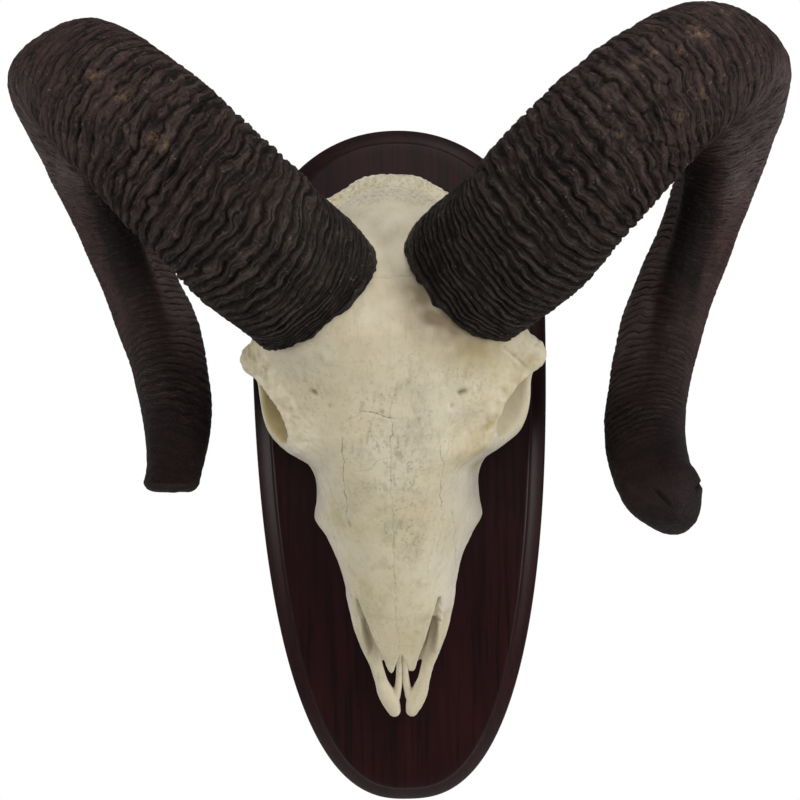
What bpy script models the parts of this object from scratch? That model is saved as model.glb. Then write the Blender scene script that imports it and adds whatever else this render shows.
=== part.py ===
"""A ram's skull with its two horns, mounted on an egg-shaped wooden plaque.

Blender 4.5, metres, +Z up. The wall is the plane y = 0 and the viewer stands on the -Y side, so
the skull hangs nose down with its forehead towards -Y. The origin is the middle of the plaque's
back. Left and right are the ram's own: its left horn is at +X.

The skull's sizes are in millimetres, in three measures that at() turns into metres: across (from
the midline), rise (above the board's face) and z (up the wall, so the nose is at the low end).
"""

import math

import bmesh
import bpy
from mathutils import Matrix, Vector

MM = 0.001
GAP = 0.0003  # between pieces that touch

# ---------------------------------------------------------------- plaque
PLAQUE_HEIGHT = 0.402
PLAQUE_WIDTH = 0.177
PLAQUE_THICKNESS = 0.022
WIDEST_ABOVE_MIDDLE = 0.102  # the egg is widest well above its middle
TOP_BLUNTNESS = 2.09  # exponent of the super-ellipse, 2 is a plain ellipse
FOOT_BLUNTNESS = 2.54
PLAQUE_SIDES = 72
EDGE_HEIGHT = 0.009  # the straight side, before the moulding
MOULDING_WIDTH = 0.0105
STEP_HEIGHT = 0.0018  # the raised field stands this far above the moulding
STEP_WIDTH = 0.0009

# ---------------------------------------------------------------- keyhole hanger in the back
HANGER_Z = 0.118
HANGER_WIDTH, HANGER_HEIGHT, HANGER_THICKNESS = 0.020, 0.044, 0.0016
HANGER_SINK = 0.0004  # the plate lies this far below the back
KEYHOLE_RADIUS = 0.0050
KEYHOLE_SLOT_WIDTH = 0.0050
KEYHOLE_SLOT_LENGTH = 0.014
POCKET_WIDTH, POCKET_HEIGHT, POCKET_DEPTH = 0.0125, 0.030, 0.0110

# ---------------------------------------------------------------- horns
# A horn's spine is a short root, then a spiral round an axis that runs outwards. Angles are in
# degrees. The root leans tilt towards the viewer and climbs by climb, seen from the front. drop and
# lean tilt the spiral's axis down and towards the viewer. The spiral starts at the angle start
# (0 faces the viewer, 90 is up), sweeps turn, and travels spread along its axis meanwhile. curls
# are its radii at the start, in the middle and at the tip, and girths are half the horn's thickness
# at GIRTH_STOPS, as shares of its length.
HORNS = {
    "horn_right": dict(
        side=-1, root=(0.0407, -0.1243, 0.0924), tilt=36.3, climb=50.2,
        curl_middle=(0.0847, -0.1125, 0.1495), drop=29.6, lean=0.1, start=-42.5, turn=298.7,
        curls=(0.0635, 0.0693, 0.1120), spread=0.1012, spread_power=1.083,
        girths=(0.0345, 0.0277, 0.0229, 0.0138), tip_roundness=0.35,
    ),
    "horn_left": dict(
        side=1, root=(0.0350, -0.1139, 0.0983), tilt=42.3, climb=41.9,
        curl_middle=(0.0906, -0.1075, 0.1528), drop=33.5, lean=4.7, start=-40.8, turn=308.0,
        curls=(0.0598, 0.0719, 0.1149), spread=0.1199, spread_power=1.237,
        girths=(0.0355, 0.0270, 0.0201, 0.0194), tip_roundness=1.0,
    ),
}
GIRTH_STOPS = (0, 0.35, 0.7, 1)
SPINE_POINTS = 120
HORN_RINGS = 42
HORN_SIDES = 16
TIP_RINGS = 3
EDGE_SHARE = 0.06  # how far the three long edges of the section stand out of a circle
CORE_GIRTH = 0.86  # the bony core, as a share of the sheath's girth
CORE_DEPTH = 0.034

# ---------------------------------------------------------------- skull, in millimetres
MIDLINE = -2.3  # where the skull's midline is, measured from the plaque's
LIFT = 0.9  # how far the skull's z = 0 is above the plaque's middle
# Each curve is a few (z, value) knots.
ROOF_RISE = [(-78, 58), (-40, 75), (0, 93), (25, 103), (55, 111), (78, 113), (98, 108), (120, 92),
             (138, 75), (152, 63)]
ROOF_HALF = [(-78, 16), (-40, 21), (0, 28), (22, 40), (40, 50), (60, 62), (72, 50), (90, 36),
             (110, 34), (130, 38), (152, 20)]
ROOF_EDGE_RISE = [(-78, 53), (-40, 67), (0, 84), (22, 93), (40, 94), (60, 90), (80, 90), (110, 76),
                  (130, 62), (152, 50)]
CHEEK_HALF = [(-78, 28.5), (-50, 34.3), (-36, 41), (-25, 46.4), (-12, 44), (2, 44), (12, 54),
              (28, 66), (42, 69), (56, 66), (68, 44), (80, 37), (110, 37), (130, 42), (152, 26)]
CHEEK_RISE = [(-78, 33), (-25, 38), (0, 47), (12, 60), (45, 58), (70, 66), (110, 56), (152, 40)]
FLOOR_RISE = [(-78, 19), (-40, 14), (10, 14), (24, 34), (60, 40), (100, 34), (130, 24), (152, 20)]
FLOOR_HALF = [(-78, 15), (-55, 24), (-20, 30), (10, 31), (24, 26), (60, 18), (110, 24), (135, 24),
              (152, 14)]
SKULL_STATIONS = 34
SKULL_TRIANGLES = 4800
VOXEL = 1.7 * MM

NASAL_TIP_Z = -109.5
NASAL_SPLIT_Z = -95
TOOTH_ROW = (-58, 8)  # z of the first and of the last cheek tooth
TEETH_ON_A_SIDE = 6
ORBIT_CENTRE = (62, 73, 36)
ORBIT_RADII = (33, 15, 19)
ORBIT_TURN = (27, 18)  # degrees the orbit looks forwards (nose-wards) and upwards (to the viewer)


def at(across, rise, z):
    """A point of the skull in metres."""
    return Vector(((MIDLINE + across) * MM, -(PLAQUE_THICKNESS + GAP + rise * MM), (z + LIFT) * MM))


def curve_value(knots, z):
    """The value at z of a smooth curve through a few knots (cubic, no overshoot at the ends)."""
    if z <= knots[0][0]:
        return knots[0][1]
    if z >= knots[-1][0]:
        return knots[-1][1]
    i = max(k for k in range(len(knots) - 1) if knots[k][0] <= z)
    (z0, v0), (z1, v1) = knots[i], knots[i + 1]

    def slope(k):
        if k == 0 or k == len(knots) - 1:
            return 0.0
        left = (knots[k][1] - knots[k - 1][1]) / (knots[k][0] - knots[k - 1][0])
        right = (knots[k + 1][1] - knots[k][1]) / (knots[k + 1][0] - knots[k][0])
        return 0.0 if left * right <= 0 else 2 * left * right / (left + right)

    step = z1 - z0
    t = (z - z0) / step
    return (
        v0 * (1 + 2 * t) * (1 - t) ** 2
        + slope(i) * step * t * (1 - t) ** 2
        + v1 * t * t * (3 - 2 * t)
        + slope(i + 1) * step * t * t * (t - 1)
    )


# ---------------------------------------------------------------- mesh tools
def clear_scene():
    for obj in list(bpy.data.objects):
        bpy.data.objects.remove(obj)


def material(name, colour, roughness, metallic=0.0):
    made = bpy.data.materials.new(name)
    made.use_nodes = True
    surface = made.node_tree.nodes["Principled BSDF"]
    surface.inputs["Base Color"].default_value = (*colour, 1)
    surface.inputs["Roughness"].default_value = roughness
    surface.inputs["Metallic"].default_value = metallic
    return made


def add_object(name, shape, surface=None, smooth_angle=None):
    """Turns a bmesh into an object. Without a surface it is a cutter, which isn't rendered."""
    bmesh.ops.recalc_face_normals(shape, faces=shape.faces)
    mesh = bpy.data.meshes.new(name)
    shape.to_mesh(mesh)
    shape.free()
    obj = bpy.data.objects.new(name, mesh)
    bpy.context.scene.collection.objects.link(obj)
    if surface is None:
        obj.hide_render = True
        obj.display_type = "WIRE"
    else:
        mesh.materials.append(surface)
    if smooth_angle is not None:
        mesh.shade_smooth()
        mesh.set_sharp_from_angle(angle=math.radians(smooth_angle))
    return obj


def skin(shape, rings):
    """Joins rings of points, each with as many points, into one closed body with flat ends."""
    loops = [[shape.verts.new(point) for point in ring] for ring in rings]
    for low, high in zip(loops, loops[1:]):
        for i in range(len(low)):
            j = (i + 1) % len(low)
            shape.faces.new((low[i], low[j], high[j], high[i]))
    shape.faces.new(reversed(loops[0]))
    shape.faces.new(loops[-1])


def ball(shape, centre, radii, turn=None):
    """An ellipsoid. centre and radii are skull measures (across, rise, z)."""
    size = Matrix.Diagonal((radii[0] * MM, radii[1] * MM, radii[2] * MM, 1))
    place = Matrix.Translation(at(*centre)) @ (turn or Matrix.Identity(4)) @ size
    bmesh.ops.create_icosphere(shape, subdivisions=3, radius=1, matrix=place)


def bar(shape, stops, sides=10):
    """A round bar through stops of (across, rise, z, radius), with rounded ends."""
    points = [at(*stop[:3]) for stop in stops]
    radii = [stop[3] * MM for stop in stops]
    ahead = [(points[min(i + 1, len(points) - 1)] - points[max(i - 1, 0)]).normalized()
             for i in range(len(points))]
    centres = [points[0] - ahead[0] * radii[0] * 0.6, *points, points[-1] + ahead[-1] * radii[-1] * 0.6]
    ways = [ahead[0], *ahead, ahead[-1]]
    girths = [radii[0] * 0.5, *radii, radii[-1] * 0.5]
    side = ahead[0].orthogonal().normalized()
    rings = []
    for centre, way, girth in zip(centres, ways, girths):
        side = (side - side.dot(way) * way).normalized()
        other = way.cross(side)
        rings.append([
            centre + girth * (math.cos(a) * side + math.sin(a) * other)
            for a in (2 * math.pi * k / sides for k in range(sides))
        ])
    skin(shape, rings)


def both_sides(make, shape, *args):
    """Calls make for the ram's left side and again mirrored."""
    for sign in (1, -1):
        make(shape, sign, *args)


# ---------------------------------------------------------------- skull
def add_face_and_braincase(shape):
    """The body from the front of the maxilla to the back of the braincase, as one loft."""
    low, high = ROOF_RISE[0][0], ROOF_RISE[-1][0]
    rings = []
    for n in range(SKULL_STATIONS):
        z = low + (high - low) * n / (SKULL_STATIONS - 1)
        roof, edge = curve_value(ROOF_RISE, z), curve_value(ROOF_EDGE_RISE, z)
        roof_half, cheek_half = curve_value(ROOF_HALF, z), curve_value(CHEEK_HALF, z)
        cheek = curve_value(CHEEK_RISE, z)
        floor, floor_half = curve_value(FLOOR_RISE, z), curve_value(FLOOR_HALF, z)
        half = [
            (roof_half * 0.55, roof - (roof - edge) * 0.2),
            (roof_half, edge),
            (roof_half * 0.35 + cheek_half * 0.65, (edge + cheek) / 2 + 3),
            (cheek_half, cheek),
            (cheek_half * 0.92, cheek - 0.35 * (cheek - floor)),
            (floor_half, floor + 3),
            (floor_half * 0.7, floor),
        ]
        ring = [(0, roof), *half, (0, floor), *[(-x, r) for x, r in reversed(half)]]
        rings.append([at(x, r, z) for x, r in ring])
    skin(shape, rings)


def add_orbit_rim(shape, sign):
    """The raised ring of bone round the eye socket, with the bar behind it."""
    bar(shape, [
        (sign * 43, 92, 21, 4.5), (sign * 48, 94, 31, 4.5), (sign * 60, 91, 49, 5),
        (sign * 70, 87.5, 60, 5), (sign * 71, 74, 63, 5), (sign * 68.5, 61, 57, 5),
        (sign * 66.5, 56, 44, 5), (sign * 63, 58, 30, 5.5), (sign * 55.5, 63, 18, 5.5),
        (sign * 48, 73, 12.5, 5), (sign * 43.5, 85, 15, 5), (sign * 43, 92, 21, 4.5),
    ])


def add_brow_process(shape, sign):
    """The blunt corner of the frontal bone that stands out behind the eye socket."""
    bar(shape, [(sign * 44, 94, 68, 9), (sign * 58, 90, 66, 8), (sign * 70.5, 87, 61, 6)])


def add_cheek_arch(shape, sign):
    """The zygomatic arch, from under the eye socket back to the ear."""
    bar(shape, [
        (sign * 58, 51, 28, 6.5), (sign * 65, 51, 50, 5.5), (sign * 66, 48, 66, 5.2),
        (sign * 60, 47, 84, 5.2), (sign * 49, 49, 100, 7), (sign * 36, 52, 112, 10),
    ])


def add_premaxilla(shape, sign):
    """One side of the forked front of the upper jaw, and its thin inner prong."""
    bar(shape, [
        (sign * 25, 36, -68, 7.5), (sign * 22, 33, -84, 5.4), (sign * 18.4, 29, -97, 4.4),
        (sign * 14.3, 26, -110, 3.6), (sign * 11.8, 25, -119, 3.9), (sign * 9.3, 24, -127, 4.8),
        (sign * 6.4, 23.5, -135, 3.9),
    ])
    bar(shape, [(sign * 3.2, 21, -72, 2.6), (sign * 2.9, 22.5, -112, 2.1), (sign * 4, 23, -128, 2.8)])


def add_nasal_bone(shape, sign):
    """One nasal bone in front of the face: an arched plate that ends in a point."""
    rings = []
    for z, inner, outer in ((-66, 0, 21), (-82, 0, 16.5), (NASAL_SPLIT_Z, 0.3, 12),
                            (-102, 1.9, 9.8), (NASAL_TIP_Z, 4.0, 6.8)):
        roof = 64 + (z + 66) * 0.47
        drop = 6 * (outer / 21) ** 2
        thick = 6.5 + (z + 66) * 0.04
        rings.append([at(sign * x, r, z) for x, r in (
            (inner, roof), (0.6 * outer + 0.4 * inner, roof - 0.3 * drop), (outer, roof - drop),
            (outer, roof - drop - thick), (0.6 * outer + 0.4 * inner, roof - 0.3 * drop - thick),
            (inner, roof - thick),
        )])
    skin(shape, rings)


def add_cheek_teeth(shape, sign):
    """Six cheek teeth whose crowns stand on the board."""
    first, last = TOOTH_ROW
    pitch = (last - first) / (TEETH_ON_A_SIDE - 1)
    for n in range(TEETH_ON_A_SIDE):
        z = first + pitch * n
        across = 22 + 8 * math.sin(math.pi * (n + 1.2) / 7.5)
        half_length = pitch * (0.40 + 0.02 * n)
        width = 4.2 + 0.45 * n
        rings = []
        for rise, share in ((0, 0.8), (1.2, 1), (20, 1.05)):
            rings.append([
                at(sign * across + width * share * x, rise, z + half_length * share * y)
                for x, y in ((1, 0.55), (0.6, 1), (-0.6, 1), (-1, 0.55),
                             (-1, -0.55), (-0.6, -1), (0.6, -1), (1, -0.55))
            ])
        skin(shape, rings)


def add_skull_base(shape, sign):
    """The parts under the braincase: wing, ear capsule, jugular process and condyle."""
    bar(shape, [(sign * 14, 40, 52, 6), (sign * 15, 27, 32, 4.2), (sign * 17, 17, 20, 3.2)])
    ball(shape, (sign * 22, 28, 100), (8, 14, 10))
    bar(shape, [(sign * 33, 34, 122, 7), (sign * 29, 18, 128, 5), (sign * 26, 4.5, 129, 3.4)])
    ball(shape, (sign * 14, 20, 143), (10, 12.5, 9))
    bar(shape, [
        (sign * -2, 63, 152, 4), (sign * 15, 63, 151, 4), (sign * 27, 60, 143, 4.5),
        (sign * 38, 55, 131, 5), (sign * 43, 43, 119, 6),
    ])


def add_nose_passage(shape):
    """The space under the nasal bones, open to the front."""
    rings = []
    for z, rise, half, height in ((-40, 46, 9, 8), (-60, 44, 15, 12), (-76, 37, 16.5, 14),
                                  (-85, 33, 15.5, 13), (-93, 30, 12.5, 12)):
        rings.append([
            at(half * math.cos(a), rise + height * math.sin(a), z)
            for a in (2 * math.pi * k / 20 for k in range(20))
        ])
    skin(shape, rings)


def orbit_turn(sign):
    forwards, upwards = (math.radians(a) for a in ORBIT_TURN)
    return Matrix.Rotation(sign * forwards, 4, "Y") @ Matrix.Rotation(-sign * upwards, 4, "Z")


def skull_cutters():
    """The spaces that are cut out of the skull, as hidden objects."""
    cuts = []
    for sign in (1, -1):
        orbit = bmesh.new()
        ball(orbit, (sign * ORBIT_CENTRE[0], *ORBIT_CENTRE[1:]), ORBIT_RADII, orbit_turn(sign))
        cuts.append(orbit)
        temple = bmesh.new()
        ball(temple, (sign * 56, 69, 82), (13, 15, 13))
        cuts.append(temple)
        under_cheek = bmesh.new()
        ball(under_cheek, (sign * 46, 29, 68), (17, 15, 42))
        cuts.append(under_cheek)
    nose = bmesh.new()
    add_nose_passage(nose)
    cuts.append(nose)
    palate = bmesh.new()
    ball(palate, (0, 8, -20), (17, 12, 60))
    cuts.append(palate)
    choanae = bmesh.new()
    ball(choanae, (0, 24, 34), (9.5, 12, 22))
    cuts.append(choanae)
    spinal_opening = bmesh.new()
    ball(spinal_opening, (0, 32, 152), (9.5, 9.5, 18))
    cuts.append(spinal_opening)
    return [add_object(f"cut_{n}", cut) for n, cut in enumerate(cuts)]


def build_skull(surface):
    shape = bmesh.new()
    add_face_and_braincase(shape)
    ball(shape, (0, 74, 108), (39, 32, 34))
    ball(shape, (0, 22, 118), (15, 12, 30))
    for horn in HORNS.values():
        add_horn_core(shape, horn)
    for make in (add_orbit_rim, add_brow_process, add_cheek_arch, add_premaxilla, add_nasal_bone,
                 add_cheek_teeth, add_skull_base):
        both_sides(make, shape)
    skull = add_object("skull", shape, surface, smooth_angle=180)
    add_remesh(skull, "join")
    for cutter in skull_cutters():
        cut = skull.modifiers.new(f"open_{cutter.name}", "BOOLEAN")
        cut.operation = "DIFFERENCE"
        cut.solver = "EXACT"
        cut.object = cutter
    add_remesh(skull, "even")
    smooth = skull.modifiers.new("soften", "SMOOTH")
    smooth.factor = 0.5
    smooth.iterations = 4
    fewer = skull.modifiers.new("facets", "DECIMATE")
    fewer.ratio = decimate_ratio(skull)
    return skull


def add_remesh(obj, name):
    remesh = obj.modifiers.new(name, "REMESH")
    remesh.mode = "VOXEL"
    remesh.voxel_size = VOXEL
    remesh.use_smooth_shade = True


def evaluated_copy(obj):
    """The mesh that obj's modifiers give."""
    bpy.context.view_layer.update()
    graph = bpy.context.evaluated_depsgraph_get()
    return bpy.data.meshes.new_from_object(obj.evaluated_get(graph))


def decimate_ratio(obj):
    """The share of its triangles that brings the skull to SKULL_TRIANGLES."""
    obj.modifiers["facets"].ratio = 1
    mesh = evaluated_copy(obj)
    triangles = sum(len(face.vertices) - 2 for face in mesh.polygons)
    bpy.data.meshes.remove(mesh)
    return SKULL_TRIANGLES / triangles


# ---------------------------------------------------------------- horns
def mirrored(point, horn):
    return Vector((horn["side"] * point[0], point[1], point[2]))


def curl_frame(horn):
    """The spiral's axis, and the two directions across it: to the viewer and up."""
    drop, lean = math.radians(horn["drop"]), math.radians(horn["lean"])
    axis = Vector((math.cos(drop) * math.cos(lean), -math.sin(lean), -math.sin(drop) * math.cos(lean)))
    front = Vector((0, -1, 0))
    front = (front - front.dot(axis) * axis).normalized()
    up = front.cross(axis)
    return axis, front, up if up.z > 0 else -up


def curl_point(horn, share):
    """(centre, way out of the curl) at a share of the spiral's turn."""
    axis, front, up = curl_frame(horn)
    angle = math.radians(horn["start"] + horn["turn"] * share)
    outwards = math.cos(angle) * front + math.sin(angle) * up
    at_start, at_middle, at_tip = horn["curls"]
    curl = (at_start ** ((1 - share) * (1 - 2 * share)) * at_middle ** (4 * share * (1 - share))
            * at_tip ** (share * (2 * share - 1)))
    travel = horn["spread"] * share ** horn["spread_power"]
    centre = Vector(horn["curl_middle"]) + curl * outwards + travel * axis
    return mirrored(centre, horn), mirrored(outwards, horn)


def root_way(horn):
    """The direction in which a horn leaves the skull."""
    tilt, climb = math.radians(horn["tilt"]), math.radians(horn["climb"])
    flat = Vector((math.cos(climb), 0, math.sin(climb))) * math.cos(tilt)
    return mirrored(flat + Vector((0, -math.sin(tilt), 0)), horn)


def horn_spine(horn):
    """Evenly spaced (centre, way out of the curl, share of the length) from root to tip."""
    start, outwards = curl_point(horn, 0)
    way_in = (curl_point(horn, 0.002)[0] - start).normalized()
    root, way_out = mirrored(horn["root"], horn), root_way(horn)
    reach = (start - root).length
    path = []
    for n in range(12):
        t = n / 12
        path.append((
            root * (1 + 2 * t) * (1 - t) ** 2 + way_out * reach * t * (1 - t) ** 2
            + start * t * t * (3 - 2 * t) + way_in * reach * t * t * (t - 1),
            outwards,
        ))
    path += [curl_point(horn, n / (SPINE_POINTS - 1)) for n in range(SPINE_POINTS)]
    lengths = [0.0]
    for (one, _), (two, _) in zip(path, path[1:]):
        lengths.append(lengths[-1] + (two - one).length)
    spine, k = [], 0
    for n in range(HORN_RINGS):
        wanted = lengths[-1] * n / (HORN_RINGS - 1)
        while k < len(path) - 2 and lengths[k + 1] < wanted:
            k += 1
        blend = (wanted - lengths[k]) / (lengths[k + 1] - lengths[k])
        centre = path[k][0].lerp(path[k + 1][0], blend)
        spine.append((centre, path[k][1].lerp(path[k + 1][1], blend), n / (HORN_RINGS - 1)))
    return spine


def horn_girth(horn, share):
    return curve_value(list(zip(GIRTH_STOPS, horn["girths"])), share)


def horn_ring(centre, tangent, outwards, girth):
    """One ring round the spine: a rounded triangle with a flat side facing out of the curl."""
    outwards = (outwards - outwards.dot(tangent) * tangent).normalized()
    sideways = tangent.cross(outwards)
    ring = []
    for k in range(HORN_SIDES):
        angle = 2 * math.pi * k / HORN_SIDES
        reach = girth * (1 - EDGE_SHARE * math.cos(3 * angle))
        ring.append(centre + reach * (math.sin(angle) * sideways + math.cos(angle) * outwards))
    return ring


def add_horn_core(shape, horn):
    """The bony stump inside the sheath's first stretch."""
    root, way = mirrored(horn["root"], horn), root_way(horn)
    outwards = curl_point(horn, 0)[1]
    rings = []
    for depth, share in ((CORE_DEPTH, 0.75), (CORE_DEPTH / 2, 0.98), (0.001, 1), (-0.004, 0.97)):
        girth = horn["girths"][0] * CORE_GIRTH * share
        rings.append(horn_ring(root - way * depth, way, outwards, girth))
    skin(shape, rings)


def build_horn(name, horn, surface, skull_cutter):
    spine = horn_spine(horn)
    tangents = [
        (spine[min(n + 1, HORN_RINGS - 1)][0] - spine[max(n - 1, 0)][0]).normalized()
        for n in range(HORN_RINGS)
    ]
    rings = [
        horn_ring(centre, tangent, outwards, horn_girth(horn, share))
        for (centre, outwards, share), tangent in zip(spine, tangents)
    ]
    last, outwards, _ = spine[-1]
    for n in range(1, TIP_RINGS + 1):
        angle = math.pi / 2 * n / (TIP_RINGS + 0.5)
        reach = horn["girths"][-1] * horn["tip_roundness"] * math.sin(angle)
        share = math.cos(angle) ** horn["tip_roundness"]
        rings.append(horn_ring(last + tangents[-1] * reach, tangents[-1], outwards,
                               horn["girths"][-1] * share))
    shape = bmesh.new()
    skin(shape, rings)
    obj = add_object(name, shape, surface, smooth_angle=60)
    cut_with(obj, skull_cutter)
    return obj


def swollen_copy(skull, name, by):
    """The finished skull grown by a hair, to cut the horns' seats with."""
    obj = bpy.data.objects.new(name, evaluated_copy(skull))
    bpy.context.scene.collection.objects.link(obj)
    obj.hide_render = True
    obj.display_type = "WIRE"
    swell = obj.modifiers.new("swell", "DISPLACE")
    swell.strength = by
    swell.mid_level = 0
    return obj


# ---------------------------------------------------------------- plaque
def plaque_outline(inset):
    """The egg's outline in (x, z), drawn in by inset."""
    half = PLAQUE_WIDTH / 2 - inset
    above = PLAQUE_HEIGHT / 2 - WIDEST_ABOVE_MIDDLE - inset
    below = PLAQUE_HEIGHT / 2 + WIDEST_ABOVE_MIDDLE - inset
    points = []
    for k in range(PLAQUE_SIDES):
        angle = 2 * math.pi * k / PLAQUE_SIDES
        x, z = math.cos(angle), math.sin(angle)
        power = 2 / (TOP_BLUNTNESS if z >= 0 else FOOT_BLUNTNESS)
        reach = above if z >= 0 else below
        points.append((
            half * math.copysign(abs(x) ** power, x),
            WIDEST_ABOVE_MIDDLE + reach * math.copysign(abs(z) ** power, z),
        ))
    return points


def plaque_profile():
    """(inset, depth from the wall) of each ring, from the back edge over the moulding."""
    rings = [(0.0015, 0.0), (0.0, 0.0015), (0.0, EDGE_HEIGHT)]
    moulding_top = PLAQUE_THICKNESS - STEP_HEIGHT
    for n in range(1, 5):
        angle = math.pi / 2 * n / 4
        rings.append((
            MOULDING_WIDTH * (1 - math.cos(angle)),
            EDGE_HEIGHT + (moulding_top - EDGE_HEIGHT) * math.sin(angle),
        ))
    rings.append((MOULDING_WIDTH + STEP_WIDTH, PLAQUE_THICKNESS - 0.0006))
    rings.append((MOULDING_WIDTH + STEP_WIDTH + 0.0008, PLAQUE_THICKNESS))
    return rings


def block(shape, centre, size):
    place = Matrix.Translation(centre) @ Matrix.Diagonal((*size, 1))
    bmesh.ops.create_cube(shape, size=1, matrix=place)


def upright_slot(name, width, height, front, back, z, sides=20):
    """A round-ended slot cutter in the plaque's back, from depth back to depth front."""
    shape = bmesh.new()
    rings = []
    for depth in (back, front):
        ring = []
        for k in range(sides):
            angle = 2 * math.pi * (k + 0.5) / sides
            x, up = width / 2 * math.cos(angle), width / 2 * math.sin(angle)
            ring.append(Vector((x, -depth, z + up + math.copysign((height - width) / 2, up))))
        rings.append(ring)
    skin(shape, rings)
    return add_object(name, shape)


def cut_with(obj, cutter):
    cut = obj.modifiers.new(cutter.name, "BOOLEAN")
    cut.operation = "DIFFERENCE"
    cut.solver = "EXACT"
    cut.object = cutter


def build_plaque(surface):
    shape = bmesh.new()
    skin(shape, [
        [Vector((x, -depth, z)) for x, z in plaque_outline(inset)]
        for inset, depth in plaque_profile()
    ])
    plaque = add_object("plaque", shape, surface, smooth_angle=35)
    recess = HANGER_SINK + HANGER_THICKNESS + GAP
    cut_with(plaque, upright_slot("cut_plate_recess", HANGER_WIDTH + 2 * GAP,
                                  HANGER_HEIGHT + 2 * GAP, recess, -0.005, HANGER_Z))
    cut_with(plaque, upright_slot("cut_screw_pocket", POCKET_WIDTH, POCKET_HEIGHT,
                                  POCKET_DEPTH, -0.006, HANGER_Z))
    return plaque


def build_hanger(surface):
    """The steel keyhole plate let into the plaque's back."""
    outline = upright_slot("hanger_plate", HANGER_WIDTH, HANGER_HEIGHT,
                           HANGER_SINK + HANGER_THICKNESS, HANGER_SINK, HANGER_Z)
    outline.hide_render = False
    outline.display_type = "SOLID"
    outline.data.materials.append(surface)
    low = HANGER_Z - KEYHOLE_SLOT_LENGTH / 2
    cut_with(outline, upright_slot("cut_keyhole", 2 * KEYHOLE_RADIUS, 2 * KEYHOLE_RADIUS + 1e-5,
                                   0.006, -0.004, low))
    cut_with(outline, upright_slot("cut_keyhole_slot", KEYHOLE_SLOT_WIDTH,
                                   KEYHOLE_SLOT_LENGTH + KEYHOLE_SLOT_WIDTH, 0.0062, -0.0042,
                                   HANGER_Z, sides=16))
    return outline


def main():
    clear_scene()
    bone = material("bone", (0.78, 0.72, 0.57), 0.6)
    sheath = material("horn", (0.055, 0.042, 0.036), 0.65)
    wood = material("mahogany", (0.07, 0.018, 0.014), 0.28)
    steel = material("steel", (0.55, 0.54, 0.52), 0.35, metallic=1.0)
    skull = build_skull(bone)
    cutter = swollen_copy(skull, "cut_horn_seat", GAP + 0.0004)
    for name, horn in HORNS.items():
        build_horn(name, horn, sheath, cutter)
    build_plaque(wood)
    build_hanger(steel)


main()
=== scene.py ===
"""A ram's skull with its two horns on an egg-shaped mahogany plaque, as it hangs on a wall.

Metres, +Z up, the wall is the plane y = 0 and the viewer stands on the -Y side. Left and right are
the ram's own: its left horn is at +X. The skull's own sizes are in millimetres, in three measures:
across (from the midline), rise (above the board's face) and z (up the wall).
"""

import math
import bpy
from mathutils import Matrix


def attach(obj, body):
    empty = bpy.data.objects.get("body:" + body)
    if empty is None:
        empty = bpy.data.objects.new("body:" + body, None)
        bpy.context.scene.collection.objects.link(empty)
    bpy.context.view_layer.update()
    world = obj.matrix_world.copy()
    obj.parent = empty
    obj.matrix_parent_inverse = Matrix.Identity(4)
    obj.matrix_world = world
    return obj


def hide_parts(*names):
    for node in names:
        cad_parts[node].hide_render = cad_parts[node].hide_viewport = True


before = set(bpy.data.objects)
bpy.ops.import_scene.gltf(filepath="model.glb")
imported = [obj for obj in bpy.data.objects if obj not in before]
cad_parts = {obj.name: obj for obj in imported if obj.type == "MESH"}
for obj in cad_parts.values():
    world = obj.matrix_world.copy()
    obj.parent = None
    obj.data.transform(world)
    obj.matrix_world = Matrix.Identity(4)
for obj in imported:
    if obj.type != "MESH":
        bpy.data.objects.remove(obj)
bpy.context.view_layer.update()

from types import SimpleNamespace

import bpy
import numpy as np
from mathutils import Matrix, Vector

MM = 0.001
GAP = 0.0003  # between pieces that touch

# ---------------------------------------------------------------- camera and light
CAMERA_AT = (0, -0.54, 0.0389)
CAMERA_LENS = 39.6  # mm
CAMERA_SENSOR = 36  # mm
CAMERA_ROLL = 1.2  # degrees
FLOOR_Z = -0.75
FLOOR_RADIUS = 1.1
FLOOR_SIDES = 96
FLOOR_FADE = (0.55, 0.98)  # shares of the radius between which the floor fades out
FLOOR_GLOW = 0.36  # keeps the floor pale where little light reaches it, and lights nothing
WORLD_GLOW = 0.17
# Each light is a soft box that points at the plaque's middle: (name, place, width and height, watts).
LIGHTS = [
    ("key", (0.36, -1.0, 0.76), (1.4, 0.7), 4.9),
    ("top", (0.1, -0.45, 1.2), (1.2, 0.5), 4.2),
    ("left_side", (-1.3, -0.60, 0.05), (0.8, 0.8), 8.8),
    ("right_side", (1.3, -0.75, -0.10), (0.8, 0.8), 12.0),
    ("front", (0.0, -0.62, 0.12), (0.16, 0.16), 0.31),
]

# ---------------------------------------------------------------- plaque
PLAQUE_HEIGHT = 0.402
PLAQUE_WIDTH = 0.177
PLAQUE_THICKNESS = 0.022
WIDEST_ABOVE_MIDDLE = 0.102
TOP_BLUNTNESS = 2.09  # exponent of the super-ellipse, 2 is a plain ellipse
FOOT_BLUNTNESS = 2.54
PLAQUE_SIDES = 480
# The edge's profile from the back to the field: (inset, depth from the wall) in mm.
PLAQUE_PROFILE = [
    (1.5, 0), (0.5, 0.4), (0, 1.5), (0, 9.8), (0.12, 10.9), (0.5, 11.9), (1.2, 12.9), (2.1, 13.8),
    (3.5, 15.0), (5.0, 16.2), (6.6, 17.3), (8.1, 18.3), (9.4, 19.1), (10.0, 19.6), (10.4, 20.4),
    (10.8, 21.3), (11.4, 21.8), (12.4, 22),
]
FIELD_RINGS = 14
FIELD_LINE = 0.35  # how much shorter than the face the line is on which a flat face closes
SHARP_ANGLE = 38  # degrees
HANGER_Z = 0.118
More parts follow.
